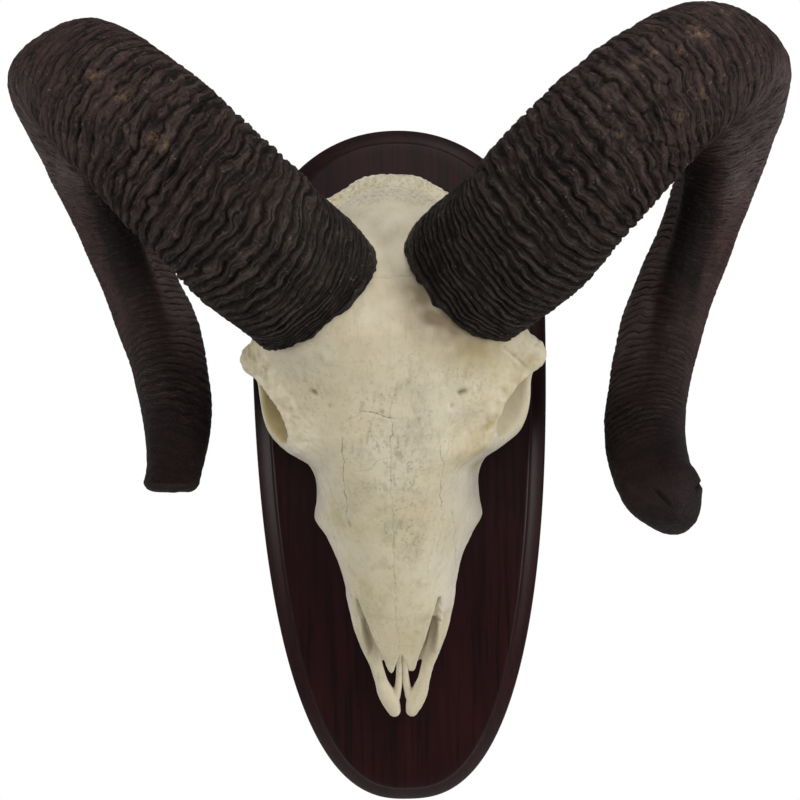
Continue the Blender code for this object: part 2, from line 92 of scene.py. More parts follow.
# Round-ended slots in the back: (name, width, height, depth).
BACK_SLOTS = [("plate_recess", 0.0206, 0.0446, 0.0023), ("screw_pocket", 0.0125, 0.030, 0.0110)]
SLOT_SIDES = 28
SLOT_OVERSHOOT = 0.005  # how far a slot's cutter stands out of the back

# ---------------------------------------------------------------- horns
# A horn's spine is a short root, then a spiral round an axis that runs outwards. Angles are in
# degrees, lengths in metres.
#   root: where the root starts; tilt and climb: how far it leans towards the viewer and upwards.
#   curl_middle: a point on the spiral's axis; drop and lean tilt the axis down and to the viewer.
#   start and turn: the angle at which the spiral starts (0 faces the viewer, 90 is up) and its sweep.
#   curls: its radii at the start, in the middle and at the tip.
#   spread: how far it travels along its axis, the later the larger spread_power is.
#   girths: half the horn's thickness at GIRTH_STOPS.
#   flattening: the share of the girth taken off the flat side, up to the share flat_until of the
#   length; ridges_until: the share at which the ridges end.
#   tip_roundness: the end's length in girths; tip_skew: how far the end slants sideways; tip_level:
#   how nearly the end is level, 1 is level; tip_longer and tip_inwards: how far the end is drawn
#   out and moved to the midline.
#   shaded_side: how much shade is painted on the side in the curl; seed: of the horn's own noise.
#   worn: worn patches, (point, size) in mm; nicks: cuts, (one end, other end, width, depth) in mm.
HORNS = {
    "horn_right": dict(
        side=-1, root=(0.0407, -0.1243, 0.0924), tilt=36.3, climb=50.2,
        curl_middle=(0.0847, -0.1125, 0.1495), drop=29.6, lean=0.1, start=-42.5, turn=298.7,
        curls=(0.0635, 0.0693, 0.1120), spread=0.1012, spread_power=1.083,
        girths=(0.0345, 0.0277, 0.0236, 0.0197, 0.0129), flat_until=0.73, ridges_until=0.92,
        flattening=0.50, tip_roundness=0.35, tip_skew=0.1, tip_level=0.85, tip_longer=0.0110,
        tip_inwards=0.0025, shaded_side=1.0, seed=11,
        worn=[((-115.1, -196.8, 168.1), 6), ((-104.1, -202.6, 159.2), 5), ((-90, -204.2, 139), 5)],
        nicks=[],
    ),
    "horn_left": dict(
        side=1, root=(0.0350, -0.1139, 0.0983), tilt=42.3, climb=41.9,
        curl_middle=(0.0906, -0.1075, 0.1528), drop=33.5, lean=4.7, start=-40.8, turn=308.0,
        curls=(0.0598, 0.0719, 0.1149), spread=0.1199, spread_power=1.237,
        girths=(0.0355, 0.0270, 0.0231, 0.0211, 0.0187), flat_until=0.68, ridges_until=0.94,
        flattening=0.30, tip_roundness=1.3, tip_skew=0.15, tip_level=0.0, tip_longer=0.0015,
        tip_inwards=0.0008, shaded_side=0.95, seed=29,
        worn=[((123, -188, 183), 7), ((139, -172, 198), 4), ((122, -195, 157), 3),
              ((112, -197, 148), 4), ((101, -194, 173), 4), ((95, -195, 169), 4),
              ((113, -194, 175), 3), ((83, -198, 152), 2.5), ((87, -197, 141), 2.5)],
        nicks=[((144, -127, -3.9), (138.2, -127, -4.6), 0.9, 3.6),
               ((118.5, -131, -5.5), (123.8, -131, -12.6), 0.8, 1.6),
               ((123.8, -131, -12.6), (129, -131, -13.6), 1.0, 0.7),
               ((131.5, -127, 42), (130, -127, 22), 0.7, 0.7)],
    ),
}
# Places along a horn are shares of its length. Angles round it are in degrees: 0 faces out of its
# curl and 180 into it.
GIRTH_STOPS = (0, 0.35, 0.7, 0.88, 1)
ROOT_POINTS = 24
SPINE_POINTS = 240
SPINE_EVENING = 20  # rounds
EDGE_SHARES = [(0, 0.05), (0.3, 0.06), (0.6, 0.09), (1, 0.08)]  # how far the long edges stand out
LONG_EDGES = 3
FLAT_SIDE = (262, 62)  # middle and width
RING_STEP = 0.55  # mm between a horn's rings
RING_SIDES = 280
TIP_RINGS = 14
TIP_EVENING = 200  # rounds
RIM_RAG_UP_TO = 9  # mm from the open end
RIM_LOWERED = 1.0  # mm
# The rings inside the open end: (mm from the rim, mm of the sheath's thickness).
RIM_RINGS = [(6.0, 4.2), (0.3, 3.6), (-0.1, 1.62)]
# Layers of lumps: (width in mm, height in mm, number of their noise).
RIM_RAG = [(9, 1.6, 40), (3.5, 0.96, 41)]
BROAD_LUMPS = [(26, 0.9, 20)]
TIP_LUMPS = [(7, 0.45, 50), (2.6, 0.22, 51)]
RIDGE_WANDER = [(38, 2.4, 0), (15, 1.6, 1), (7, 1.3, 2), (3.2, 0.55, 3)]
RIDGE_SPACING = [(0, 3.3), (0.12, 3.8), (0.25, 4.3), (0.45, 4.0), (0.7, 4.6), (1, 5.2)]  # mm
RIDGE_SIZE = [(0, 2.0), (0.15, 2.0), (0.32, 1.2), (0.6, 1.0), (1, 0.8)]  # mm
RIDGE_FLATNESS = [(0, 2.2), (0.12, 2.4), (0.28, 3.2), (1, 3.0)]
NICK_REACH = (1, 0.15, 1)  # less than 1 along y, as cuts run on into the horn
UNROLLED_RADIUS = 30  # mm, of the cylinder on which cracks are drawn
CRACK_STRETCH = 3.4  # how much longer cracks run round a horn than along it
CRACKS = [(17, 1.0, 11), (8, 0.7, 15)]  # (mm between them, strength, number of their noise)

# ---------------------------------------------------------------- skull, in millimetres
MIDLINE = -1.9  # where the skull's midline is, measured from the plaque's
LIFT = 0.9  # how far the skull's z = 0 is above the plaque's middle
UPPER_LEAN = -2.3  # the upper surfaces lean to the ram's right
GRID_STEP = 0.8
WINDOW_MARGIN = 10  # how far round a shape the grid is worked out
GRID_LOW = (0.0, -2.4, -142.4)  # the grid's low corner; it covers the side across >= 0
GRID_COUNT = (101, 173, 379)
MESH_EVENING = 2  # rounds
# Each curve is a few (z, value) knots.
ROOF_RISE = [(-110, 42.5), (-78, 57.6), (-40, 75), (0, 93), (25, 103), (55, 111), (78, 113),
             (98, 108), (120, 92), (138, 79), (152, 70)]
ROOF_HALF = [(-110, 8), (-78, 17), (-40, 21), (0, 28), (22, 40), (40, 50), (60, 62), (72, 50), (90, 36),
             (110, 34), (130, 38), (152, 20)]
ROOF_EDGE_RISE = [(-110, 41), (-78, 53), (-40, 67), (0, 84), (22, 93), (40, 94), (60, 90), (80, 90),
                  (110, 76), (130, 62), (152, 50)]
CHEEK_HALF = [(-110, 18), (-78, 27.2), (-50, 33.6), (-36, 39.8), (-25, 44.8), (-12, 43.0), (2, 42.6),
              (12, 54), (28, 66), (42, 69), (56, 66), (68, 44), (80, 37), (110, 37), (130, 42), (152, 26)]
CHEEK_RISE = [(-110, 30), (-78, 33), (-25, 38), (0, 47), (12, 60), (45, 58), (70, 66), (110, 56),
              (152, 40)]
FLOOR_RISE = [(-78, 19), (-40, 14), (10, 14), (24, 34), (60, 40), (100, 34), (130, 24), (152, 20)]
FACE_ENDS = (-78, 151)
FLOOR_HALF = [(-78, 15), (-55, 24), (-20, 30), (10, 31), (24, 26), (60, 18), (110, 24), (135, 24), (152, 14)]
ORBIT_CENTRE = (62, 72, 37)
ORBIT_RADII = (34, 16.5, 20)
ORBIT_TURN = (27, 18)  # degrees the orbit looks forwards (nose-wards) and upwards (to the viewer)
ORBIT_FILLET = 3.5
NASAL_OUTER = [(-110.5, 5.3), (-108.5, 7), (-105, 8.3), (-102, 9.2), (-90, 13.8), (-82, 16.2),
               (-72, 19), (-65, 20.5), (-50, 21)]
NASAL_INNER = [(-110.5, 5.3), (-108.5, 4), (-105, 2.8), (-102, 1.7), (-99, 0.6), (-97, -0.8),
               (-94, -3), (-60, -3)]
NASAL_THICKNESS = [(-110, 2.2), (-64, 3.6)]
NASAL_ROOF_Z = -66
NASAL_ROOF = (63.0, 0.455)  # rise at NASAL_ROOF_Z, and how steeply it falls towards the nose
NASAL_ARCH = (6, 21)  # how far the plate falls, and how far out
NASAL_DIP = (2.2, -76, -62)  # how far it sinks under the face, between two z
NASAL_FILLET = 1.0
NASAL_ROUNDING = 1.6
NASAL_UNDER_FACE = 6  # how far it reaches under the face past NASAL_ROOF_Z
TOOTH_ROW = (-58, 8)  # z of the first and of the last cheek tooth
TOOTH_FOOT = 0.3
TEETH_ON_A_SIDE = 6
TOOTH_FILLET = 1.0
PEDICLE_STOPS = [(-36, 1.02), (-18, 0.98), (-5, 0.9), (9, 0.86)]  # (mm past the root, share of girth)
PEDICLE_END = 10  # mm past the root
PEDICLE_FILLET = 11
# Bars are stops of (across, rise, z, radius), a fillet, and where needed a squash along the three
# measures. Balls are (centre, radii, fillet).
SKULL_BARS = [
    # the upper margin of the eye socket, the brow's corner, and the rest of the rim
    ([(43.8, 84.5, 18, 3.0), (45.8, 86, 24, 2.8), (49, 87, 29.5, 3.0), (55.5, 87.5, 39.5, 3.4),
      (60.5, 86.5, 46, 4), (66, 85.5, 56, 5)], 5),
    ([(44, 94, 68, 9), (58, 90, 66, 8), (68.3, 86.5, 60.5, 6.0)], 7),
    ([(68, 86, 59, 5.2), (69.8, 74, 61, 4.0), (69.2, 62, 56, 3.8), (67.6, 55, 45, 3.6), (66.8, 54, 34, 3.6),
      (63.5, 55, 24.5, 3.9), (57.3, 58, 19, 4.3), (50.4, 67, 16.5, 4.2), (45.5, 78, 16.5, 3.4),
      (43.8, 84.5, 18, 3.0)], 4),
    # the zygomatic arch
    ([(60, 50, 30, 5.5), (65, 49, 50, 5), (66, 47, 66, 4.8), (60, 46, 84, 5), (49, 48, 100, 7),
      (36, 52, 112, 10)], 5, (0.7, 1.15, 1)),
    # the facial crest
    ([(46, 52, 12, 3.4), (40.5, 46, -2, 2.8), (40.5, 41, -14, 2.6), (41.6, 38.5, -24, 2.6)], 3),
    # the nuchal crest
    ([(-3, 62, 151, 3.6), (14, 61.5, 148.8, 3.8), (26, 59, 143, 4.2), (35.5, 57, 137, 4.5),
      (41, 51, 127, 5.5), (43, 43, 118, 6)], 8),
    # the jugular process, the wing beside the throat, and the ear's opening
    ([(33, 34, 122, 7), (29, 18, 128, 5), (26, 4.5, 129, 3.4)], 5),
    ([(14, 40, 52, 6), (15, 27, 32, 4.2), (17, 17, 20, 3.2)], 4, (0.6, 1, 1)),
    ([(32, 40, 105, 6), (41, 46, 104, 4.2)], 4),
]
BRAINCASE_BALLS = [
    ((0, 74, 108), (39, 32, 34), 9),
    ((0, 22, 118), (15, 12, 30), 8),  # the skull's base
]
SKULL_BALLS = [
    ((40.5, 38, -24), (3.8, 6, 5), 3),  # the knob at the front of the facial crest
    ((22, 28, 100), (8, 14, 10), 4),  # the ear's capsule
    ((14, 20, 143), (10, 12.5, 9), 3),  # the condyle
]
SKULL_HOLLOWS = [
    ((56, 69, 82), (13, 15, 13), 6),  # the temple
    ((46, 29, 68), (17, 15, 42), 6),  # inside the zygomatic arch
    ((47, 75, 1), (6, 13, 9), 5),  # before the eye socket
    ((0, 8, -20), (17, 12, 60), 5),  # the palate
    ((0, 24, 34), (9.5, 12, 22), 4),  # the throat
    ((0, 32, 152), (9.5, 9.5, 18), 2.5),  # the spinal opening
]
ONE_SIDED_HOLLOWS = [
    ((45, 108, 17), (22, 21, 18), 6),  # the dent in front of the left eye socket
    ((6, 43, -112), (3.5, 6, 3.6), 0.6),  # the left nasal bone ends sooner
]
# Crumbs of bone on the left edge of the slit beside the nasal bones: (centre, radius).
CRUMBS = [
    ((22.6, 48.8, -69.5), 1.6), ((21.9, 48.6, -72.2), 1.3), ((22.5, 47.8, -74.6), 1.5),
    ((21.7, 47.3, -77.2), 1.3), ((22.1, 46.4, -79.6), 1.4), ((21.3, 45.2, -82.4), 1.2),
]
CRUMB_FILLET = 0.7
SKULL_GROOVES = [
    # the nose passage, the notch beside the nasal bones, and the ear's canal
    ([(0, 46, -38, 7), (0, 44, -60, 12), (0, 38, -76, 13), (0, 33, -86, 12.5)], 2.5, (1.15, 1, 1)),
    ([(19.5, 53.5, -63, 0.8), (18.9, 51, -74, 2.2), (17.6, 48, -85, 3.4), (15, 45, -95, 5)], 1, (2.1, 1, 1)),
    ([(33, 41, 105, 2.2), (48, 50, 103, 2.6)], 1),
]
THIN_BARS = [
    # the premaxilla: its long limb, its upper edge, and the thin rod beside the midline
    ([(23.5, 36, -68, 5.6), (21.8, 33, -84, 5.0), (18.2, 29, -98, 4.3), (14.3, 26, -110, 3.5),
      (11.9, 25, -119, 3.6), (9.5, 24, -126, 4.7), (6.5, 23.5, -132, 4.7), (5.0, 23.5, -136, 3.6)], 3),
    ([(21.6, 46, -69, 2.2), (21.0, 43.5, -80, 2.0), (20.0, 39, -90, 2.5), (18.4, 33, -98, 3.2)],
     2, (0.8, 1.5, 1)),
    ([(1.4, 26, -88, 1.6), (1.4, 28, -97, 1.6), (1.5, 26.5, -106, 1.7), (1.6, 24.5, -114, 1.9),
      (2.0, 23.5, -120, 2.1), (3.4, 23.3, -128, 2.2)], 1.5, (1, 1.4, 1)),
    # the front of the palate
    ([(9, 23, -80, 9.5), (8.5, 23.5, -92, 8), (7.5, 24, -99, 6.5), (7, 24, -104, 5)], 1.5, (1, 0.22, 1)),
]
# Seams that run along the skull: (z, across) knots and (z, darkness) knots.
SEAMS_ALONG = [
    ([(40, 1), (30, -0.6), (22, 0.8), (12, -1.5), (5, -1.6), (0, -1.3), (-21, -0.9), (-43, -0.4), (-94, 0)],
     [(41, 0), (32, 0.35), (14, 0.45), (8, 0.9), (-22, 0.9), (-30, 0.35), (-60, 0.5), (-94, 0.6)]),
    ([(20, -35.6), (9.4, -31.5), (0, -26), (-23, -22.5), (-45, -23.8), (-63, -24.7)],
     [(21, 0), (15, 0.2), (0, 0.3), (-20, 0.6), (-26, 0.9), (-50, 0.7), (-64, 0)]),
    ([(16, 35.7), (5.7, 30.5), (-6.6, 27), (-18.4, 23.6), (-46, 23.8), (-66.8, 20.4)],
     [(17, 0), (12, 0.3), (0, 0.3), (-20, 0.4), (-46, 0.5), (-67, 0.3)]),
]
# Seams that run across it: (across, z) knots and (across, darkness) knots.
SEAMS_ACROSS = [
    ([(-22, 29), (-12, 33), (-3, 30), (5.5, 29.5)], [(-23, 0), (-16, 0.6), (-2, 0.85), (6, 0.1), (8, 0)]),
    ([(-20, 5), (-13, 4), (-7, 8), (-2, 10)], [(-21, 0), (-13, 0.45), (-3, 0.5), (-1, 0)]),
    ([(2, 6), (8, 5), (14, 4), (22, 6)], [(0, 0), (8, 0.3), (20, 0.3), (23, 0)]),
    ([(-30, 99), (-10, 95.5), (0, 94.5), (10, 95.5), (30, 99)], [(-20, 0), (-8, 0.4), (8, 0.4), (20, 0)]),
]
# Small pits and grooves in the upper surface: (across, z) at both ends, width, depth.
PITS = [
    ((-36.8, 42.6), (-35.6, 41.8), 1.5, 1.4), ((35.0, 41.4), (32.8, 40.6), 1.5, 1.4),
    ((54, 61.4), (59, 58), 0.6, 0.6), ((59, 58), (64.6, 52.6), 0.6, 0.6),
    ((22.2, -71), (22.4, -72.4), 0.9, 0.55), ((22, -76), (21.6, -77.4), 0.9, 0.6),
    ((21.2, -81), (21.4, -82), 1.0, 0.5),
    ((40, 44), (40.2, 44), 0.6, 0.5), ((43.5, 40), (43.6, 40), 0.6, 0.5), ((37, 36), (37.2, 36), 0.6, 0.5),
    ((26, 44), (26.2, 44), 0.6, 0.4), ((47, 53), (47.4, 52.4), 0.7, 0.45), ((44, 34), (44.2, 34), 0.6, 0.5),
    ((32.5, 40.4), (28.6, 36), 2.2, 0.55), ((28.6, 35), (28.3, 34), 1.0, 1.0),
    ((-29, 36), (-28.8, 35.4), 0.8, 0.9), ((-34, 51), (-34, 50.5), 0.8, 0.6),
    ((-40, 34), (-39.6, 34), 0.8, 0.7), ((-9.5, 46), (-9, 45), 0.8, 0.7),
    ((-22.9, -23), (-22.5, -25.6), 0.7, 1.0), ((23.7, -23), (23.8, -25.5), 0.7, 0.6),
    ((12, 41), (12.2, 40.6), 0.6, 0.5), ((-6, 39), (-5.4, 37), 0.7, 0.5), ((-4, 20), (-3.4, 17), 0.8, 0.5),
]
# The upper margin of the eye socket, (across, z) stops, along which the bone is rough.
ROUGH_EDGE = [(46, 22), (51, 29), (58, 39), (63, 46), (68, 56)]
GRAIN_ABOVE_Z = 131  # the back of the head is granular above this line
# Yellow-brown stains, some of which are also painted shade: (middle, size, strength).
STAINS_AND_SHADE = [
    ((-60, 88, 56), 11, 0.8), ((-70, 86, 62), 9, 0.7), ((-27, 72, -20), 16, 0.5), ((0, 78, -28), 18, 0.3),
    ((60, 88, 50), 12, 0.7), ((-14, 60, -62), 16, 0.35), ((0, 80, 142), 16, 0.2), ((-52, 90, 35), 9, 0.4),
    ((8, 50, -92), 16, 0.25), ((4, 58, -66), 16, 0.25), ((41, 86, 9), 10, 0.9), ((44, 92, 30), 10, 0.3),
    # these four are stain and painted shade, below and beside the left horn's rim and in front of the left
    # eye socket
    ((41, 103, 61), 10, 1.0), ((45, 86, 17), 9, 0.6), ((22, 98, 74), 9, 0.9), ((33, 97, 62), 12, 0.5),
    ((-34, 97, 62), 12, 0.4), ((-17, 36, -92), 9, 0.45), ((17, 36, -92), 9, 0.4), ((0, 25, -95), 14, 0.6),
]
EDGE_STAIN = (0.7, 2.2)  # strength and width along the upper margin of the left eye socket
# Layers of lumps: (width, height, number of their noise).
BONE_LUMPS = [(22, 0.34, 3), (9, 0.20, 4), (3.4, 0.09, 5)]
CREST_LUMPS = [(5.0, 0.45, 7), (2.0, 0.60, 8)]
BROW_LUMPS = [(3.2, 0.45, 9)]
MARGIN_LUMPS = [(5.0, 0.6, 10), (2.0, 0.6, 11)]
MARGIN_CRACKS = (3.4, 0.6, 16)
SEAM_WANDER = [(9, 1.1, 0), (4, 0.8, 20), (2.0, 0.5, 30)]
SEAM_DEPTH, SEAM_WIDTH = 0.40, 0.9

# ---------------------------------------------------------------- colours
BONE = {
    "cream": (0.645, 0.562, 0.385), "ivory": (0.705, 0.630, 0.465), "mottled": (0.545, 0.490, 0.340),
    # side is painted light on the faces turned away from the viewer
    "side": (0.750, 0.685, 0.610), "stained_and_shaded": (0.480, 0.375, 0.132), "dirty": (0.330, 0.310, 0.200),
    "specks": (0.200, 0.185, 0.120), "streaks": (0.290, 0.265, 0.170), "pores": (0.250, 0.205, 0.120),
    # grime is mostly painted shadow below the left horn
    "crust": (0.270, 0.200, 0.090), "horn_shadow_grime": (0.225, 0.165, 0.095), "seams": (0.120, 0.095, 0.055),
    # bleached is also painted light in the left eye socket
    "bleached_and_lit": (0.810, 0.728, 0.548), "pits": (0.150, 0.115, 0.060), "enamel": (0.700, 0.640, 0.490),
}
KERATIN = {
    "base": ((0.0160, 0.0122, 0.0092), (0.0290, 0.0225, 0.0168)),
    "bend": ((0.0430, 0.0205, 0.0185), (0.0700, 0.0350, 0.0315)),
    "tip": ((0.0130, 0.0068, 0.0066), (0.0215, 0.0115, 0.0112)),
    # painted_sheen is a painted sheen, shaded_side painted shade
    "painted_sheen": (0.180, 0.130, 0.130), "shaded_side": (0.0080, 0.0034, 0.0033),
    "splits": (0.0030, 0.0022, 0.0020), "rings": (0.0045, 0.0030, 0.0026),
    # crests and flecks are partly painted highlights and glints
    "crests_and_highlights": (0.104, 0.078, 0.066), "flecks_and_glints": (0.240, 0.205, 0.175),
    # grooves is painted shade in the valleys, and the cracks
    "shaded_grooves": (0.0024, 0.0016, 0.0014), "worn": (0.270, 0.170, 0.100),
}
MAHOGANY = {
    "dark": (0.0132, 0.0027, 0.0033), "red": (0.0248, 0.0051, 0.0060), "grain": (0.0040, 0.0018, 0.0020),
}
STEEL = (0.52, 0.51, 0.49)
FLOOR_GREY = (0.80, 0.80, 0.81)


# ---------------------------------------------------------------- small tools
def smooth_step(low, high, value):
    """0 below low and 1 above high. Where low is the larger, it is 1 below high and 0 above low."""
    t = np.clip((value - low) / (high - low), 0, 1)
    return t * t * (3 - 2 * t)


def band(value, low, rising, falling, high):
    """1 from rising to falling, 0 below low and above high."""
    return smooth_step(low, rising, value) * smooth_step(high, falling, value)


def bell(off, width):
    """1 where off is 0, falling to almost 0 two widths away."""
    return np.exp(-((off / width) ** 2))


def curve(knots, at):
    """Values at some places of a smooth curve through (place, value) knots, without overshoot."""
    place, value = np.array(knots, float).T
    step = np.diff(place)
    slope = np.diff(value) / step
    tangent = np.zeros(len(place))
    both = slope[:-1] * slope[1:]
    tangent[1:-1] = np.where(both > 0, 2 * both / np.where(both > 0, slope[:-1] + slope[1:], 1), 0)
    k = np.clip(np.searchsorted(place, at) - 1, 0, len(place) - 2)
    t = np.clip((at - place[k]) / step[k], 0, 1)
    return (value[k] * (1 + 2 * t) * (1 - t) ** 2 + tangent[k] * step[k] * t * (1 - t) ** 2
            + value[k + 1] * t * t * (3 - 2 * t) + tangent[k + 1] * step[k] * t * t * (t - 1))


def unit(vector):
    return vector / (np.linalg.norm(vector, axis=-1, keepdims=True) + 1e-12)


def noise(points, size, seed):
    """Smooth noise from about -1 to 1 at each of (n, 3) points. Its lumps are size wide."""
    scaled = np.asarray(points, np.float64) / size + seed * 17.137
    cell = np.floor(scaled).astype(np.int64)
    inner = scaled - cell
    ease = inner * inner * inner * (inner * (inner * 6 - 15) + 10)
    total = np.zeros(len(scaled))
    for corner in np.ndindex(2, 2, 2):
        mixed = (cell + corner) @ np.array([73856093, 19349663, 83492791]) + seed * 668265263
        mixed = (mixed ^ (mixed >> 13)) * 1274126177 & 0xFFFFFFFF
        mixed = (mixed ^ (mixed >> 16)) * 2246822519 & 0xFFFFFFFF
        slope = np.stack([mixed & 1023, (mixed >> 10) & 1023, (mixed >> 20) & 1023], 1) / 511.5 - 1
        weight = np.prod(np.where(corner, ease, 1 - ease), 1)
        total += weight * np.einsum("ij,ij->i", slope, inner - corner)
    return total * 1.5


def lumps(points, layers, seed=0):
    """Layers of noise added up."""
    return sum(height * noise(points, size, seed + number) for size, height, number in layers)


def make_mesh(name, points, faces, surface, attributes=None):
    """A smooth mesh object from arrays of points (metres) and of quads."""
    mesh = bpy.data.meshes.new(name)
    count, sides = faces.shape
    mesh.vertices.add(len(points))
    mesh.vertices.foreach_set("co", np.asarray(points, np.float32).ravel())
    mesh.loops.add(faces.size)
    mesh.loops.foreach_set("vertex_index", np.asarray(faces, np.int32).ravel())
    mesh.polygons.add(count)
    mesh.polygons.foreach_set("loop_start", np.arange(0, faces.size, sides, dtype=np.int32))
    mesh.update(calc_edges=True)
    mesh.validate()
    for key, values in (attributes or {}).items():
        layer = mesh.attributes.new(key, "FLOAT", "POINT")
        layer.data.foreach_set("value", np.asarray(values, np.float32))
    mesh.shade_smooth()
    mesh.materials.append(surface)
    obj = bpy.data.objects.new(name, mesh)
    bpy.context.scene.collection.objects.link(obj)
    return obj


def ring_faces(count, sides):
    """The quads of a tube of count rings with sides points each."""
    index = np.arange(count * sides).reshape(count, sides)
    after = np.roll(index, -1, 1)
    return np.stack([index[:-1], after[:-1], after[1:], index[1:]], -1).reshape(-1, 4)


def vertex_normals(points, faces):
    """Area-weighted normals of a quad mesh."""
    one, two, three, four = (points[faces[:, k]] for k in range(4))
    across = np.cross(three - one, four - two)
    total = np.zeros_like(points)
    for corner in range(4):
        for axis in range(3):
            total[:, axis] += np.bincount(faces[:, corner], across[:, axis], len(points))
    return unit(total)


# ---------------------------------------------------------------- materials
class Nodes:
    """A short way to write a material's node tree; base is its colour so far."""

    def __init__(self, name):
        self.base = None
        self.material = bpy.data.materials.new(name)
        self.material.use_nodes = True
        self.tree = self.material.node_tree
        self.surface = self.tree.nodes["Principled BSDF"]

    def add(self, kind, **settings):
        node = self.tree.nodes.new("ShaderNode" + kind)
        for key, value in settings.items():
            if hasattr(node, key):
                setattr(node, key, value)
            else:
                self.plug(node.inputs[key.replace("_", " ")], value)
        return node

    def plug(self, socket, value):
        if isinstance(value, bpy.types.NodeSocket):
            self.tree.links.new(value, socket)
        else:
            socket.default_value = value

    def attribute(self, name):
        return self.add("Attribute", attribute_name=name).outputs["Fac"]

    def place(self, scale=(1, 1, 1), of=None):
        """Coordinates stretched by scale, the object's own if no others are given."""
        coordinate = self.add("TexCoord").outputs["Object"] if of is None else of
        mapping = self.add("Mapping")
        self.plug(mapping.inputs["Vector"], coordinate)
        self.plug(mapping.inputs["Scale"], scale)
        return mapping.outputs["Vector"]

    def noise(self, place, scale, detail=4.0, roughness=0.55, distortion=0.0):
        node = self.add("TexNoise")
        for key, value in (("Vector", place), ("Scale", scale), ("Detail", detail),
                           ("Roughness", roughness), ("Distortion", distortion)):
            self.plug(node.inputs[key], value)
        return node.outputs["Fac"]

    def math(self, operation, one, two=0.0, clamp=False):
        node = self.add("Math", operation=operation, use_clamp=clamp)
        self.plug(node.inputs[0], one)
        self.plug(node.inputs[1], two)
        return node.outputs[0]

    def times(self, *factors):
        product = factors[0]
        for factor in factors[1:]:
            product = self.math("MULTIPLY", product, factor)
        return product

    def joined(self, *parts):
        """A vector from its three parts."""
        node = self.add("CombineXYZ")
        for socket, part in zip(node.inputs, parts):
            self.plug(socket, part)
        return node.outputs[0]

    def ramp(self, value, low, high, to_low=0.0, to_high=1.0):
        """From to_low where value is low to to_high where it is high, with soft ends."""
        node = self.add("MapRange", clamp=True, interpolation_type="SMOOTHSTEP")
        for k, number in enumerate((value, low, high, to_low, to_high)):
            self.plug(node.inputs[k], number)
        return node.outputs[0]

    def mix(self, share, one, two):
        node = self.add("Mix", data_type="RGBA")
        self.plug(node.inputs[0], share)
        for socket, colour in ((node.inputs[6], one), (node.inputs[7], two)):
            self.plug(socket, (*colour, 1) if isinstance(colour, tuple) else colour)
        return node.outputs[2]

    def tint(self, colour, *shares):
        """Lays a colour over the base, as strongly as the product of the shares."""
        self.base = self.mix(self.times(*shares), self.base, colour)

    def bump(self, height, distance, strength=1.0, below=None):
        node = self.add("Bump")
        self.plug(node.inputs["Strength"], strength)
        self.plug(node.inputs["Distance"], distance)
        self.plug(node.inputs["Height"], height)
        if below is not None:
            self.plug(node.inputs["Normal"], below)
        return node.outputs["Normal"]

    def finish(self, **inputs):
        """The material, with its base colour and these inputs of its surface."""
        self.plug(self.surface.inputs["Base Color"], self.base)
        for key, value in inputs.items():
            if isinstance(value, tuple):
                value = (*value, 1)
            self.plug(self.surface.inputs[key.replace("_", " ")], value)
        return self.material


def bone_material():
    """Old bone: ivory, yellow-brown in its hollows from stain and painted shade, with dark seams, pores,
    grey specks, painted shadow and painted light.
    """
    n = Nodes("old_bone")
    place = n.place()
    broad, mottle = n.noise(place, 28.0, 4.0), n.noise(place, 120.0, 5.0, 0.62)
    fine, grain = n.noise(place, 520.0, 5.0, 0.65), n.noise(place, 1500.0, 3.0, 0.6)
    n.base = n.mix(n.ramp(broad, 0.35, 0.65), BONE["cream"], BONE["ivory"])
    n.tint(BONE["mottled"], n.ramp(mottle, 0.5, 0.70), 0.6)
    # painted light: the faces turned away from the viewer are tinted paler
    n.tint(BONE["side"], n.attribute("side"), 0.55)
    # stains, and painted shade in the hollows and in the right eye socket
    stain_and_shade = n.math("MAXIMUM", n.attribute("hollow_shade_and_stain"), n.times(n.attribute("stain_and_shade"), 0.8))
    n.tint(BONE["stained_and_shaded"], stain_and_shade, n.ramp(mottle, 0.2, 0.7, 0.65, 1.0), 0.85)
    n.tint(BONE["dirty"], n.ramp(n.noise(place, 75.0, 6.0, 0.68), 0.47, 0.66), n.attribute("dusty"), 0.42)
    n.tint(BONE["specks"], n.ramp(fine, 0.54, 0.70), n.attribute("dusty"), 0.62)
    streak = n.ramp(n.noise(n.place((1, 1, 0.14)), 420.0, 4.0, 0.6), 0.50, 0.66)
    n.tint(BONE["streaks"], streak, n.attribute("dusty"), 0.45)
    n.tint(BONE["pores"], n.ramp(grain, 0.68, 0.80), n.ramp(mottle, 0.45, 0.62), 0.5)
    n.tint(BONE["crust"], n.attribute("crust"), n.ramp(fine, 0.46, 0.66), 0.62)
    # painted shadow that the left horn casts on the bone, with a little dirt round both rims
    n.tint(BONE["horn_shadow_grime"], n.attribute("horn_shadow_grime"), 0.95)
    for name in ("along", "across"):
        off = n.math("ABSOLUTE", n.attribute("seam_" + name))
        width = n.ramp(fine, 0.3, 0.7, 0.10, 0.42)
        line = n.math("SUBTRACT", 1.0, n.math("DIVIDE", off, width), clamp=True)
        line = n.math("MULTIPLY", line, 2.2, clamp=True)
        n.tint(BONE["seams"], line, n.attribute("dark_" + name), 0.85)
    # bleached bone, and painted light in the left eye socket
    n.tint(BONE["bleached_and_lit"], n.attribute("bleached_and_lit"), 0.75)
    n.tint(BONE["pits"], n.attribute("pit"))
    n.tint(BONE["enamel"], n.attribute("enamel"))
    bumps = n.bump(fine, 0.0005, 0.5)
    bumps = n.bump(grain, 0.0002, 0.35, below=bumps)
    return n.finish(Roughness=n.ramp(fine, 0.2, 0.8, 0.50, 0.68), Normal=bumps, Specular_IOR_Level=0.35)


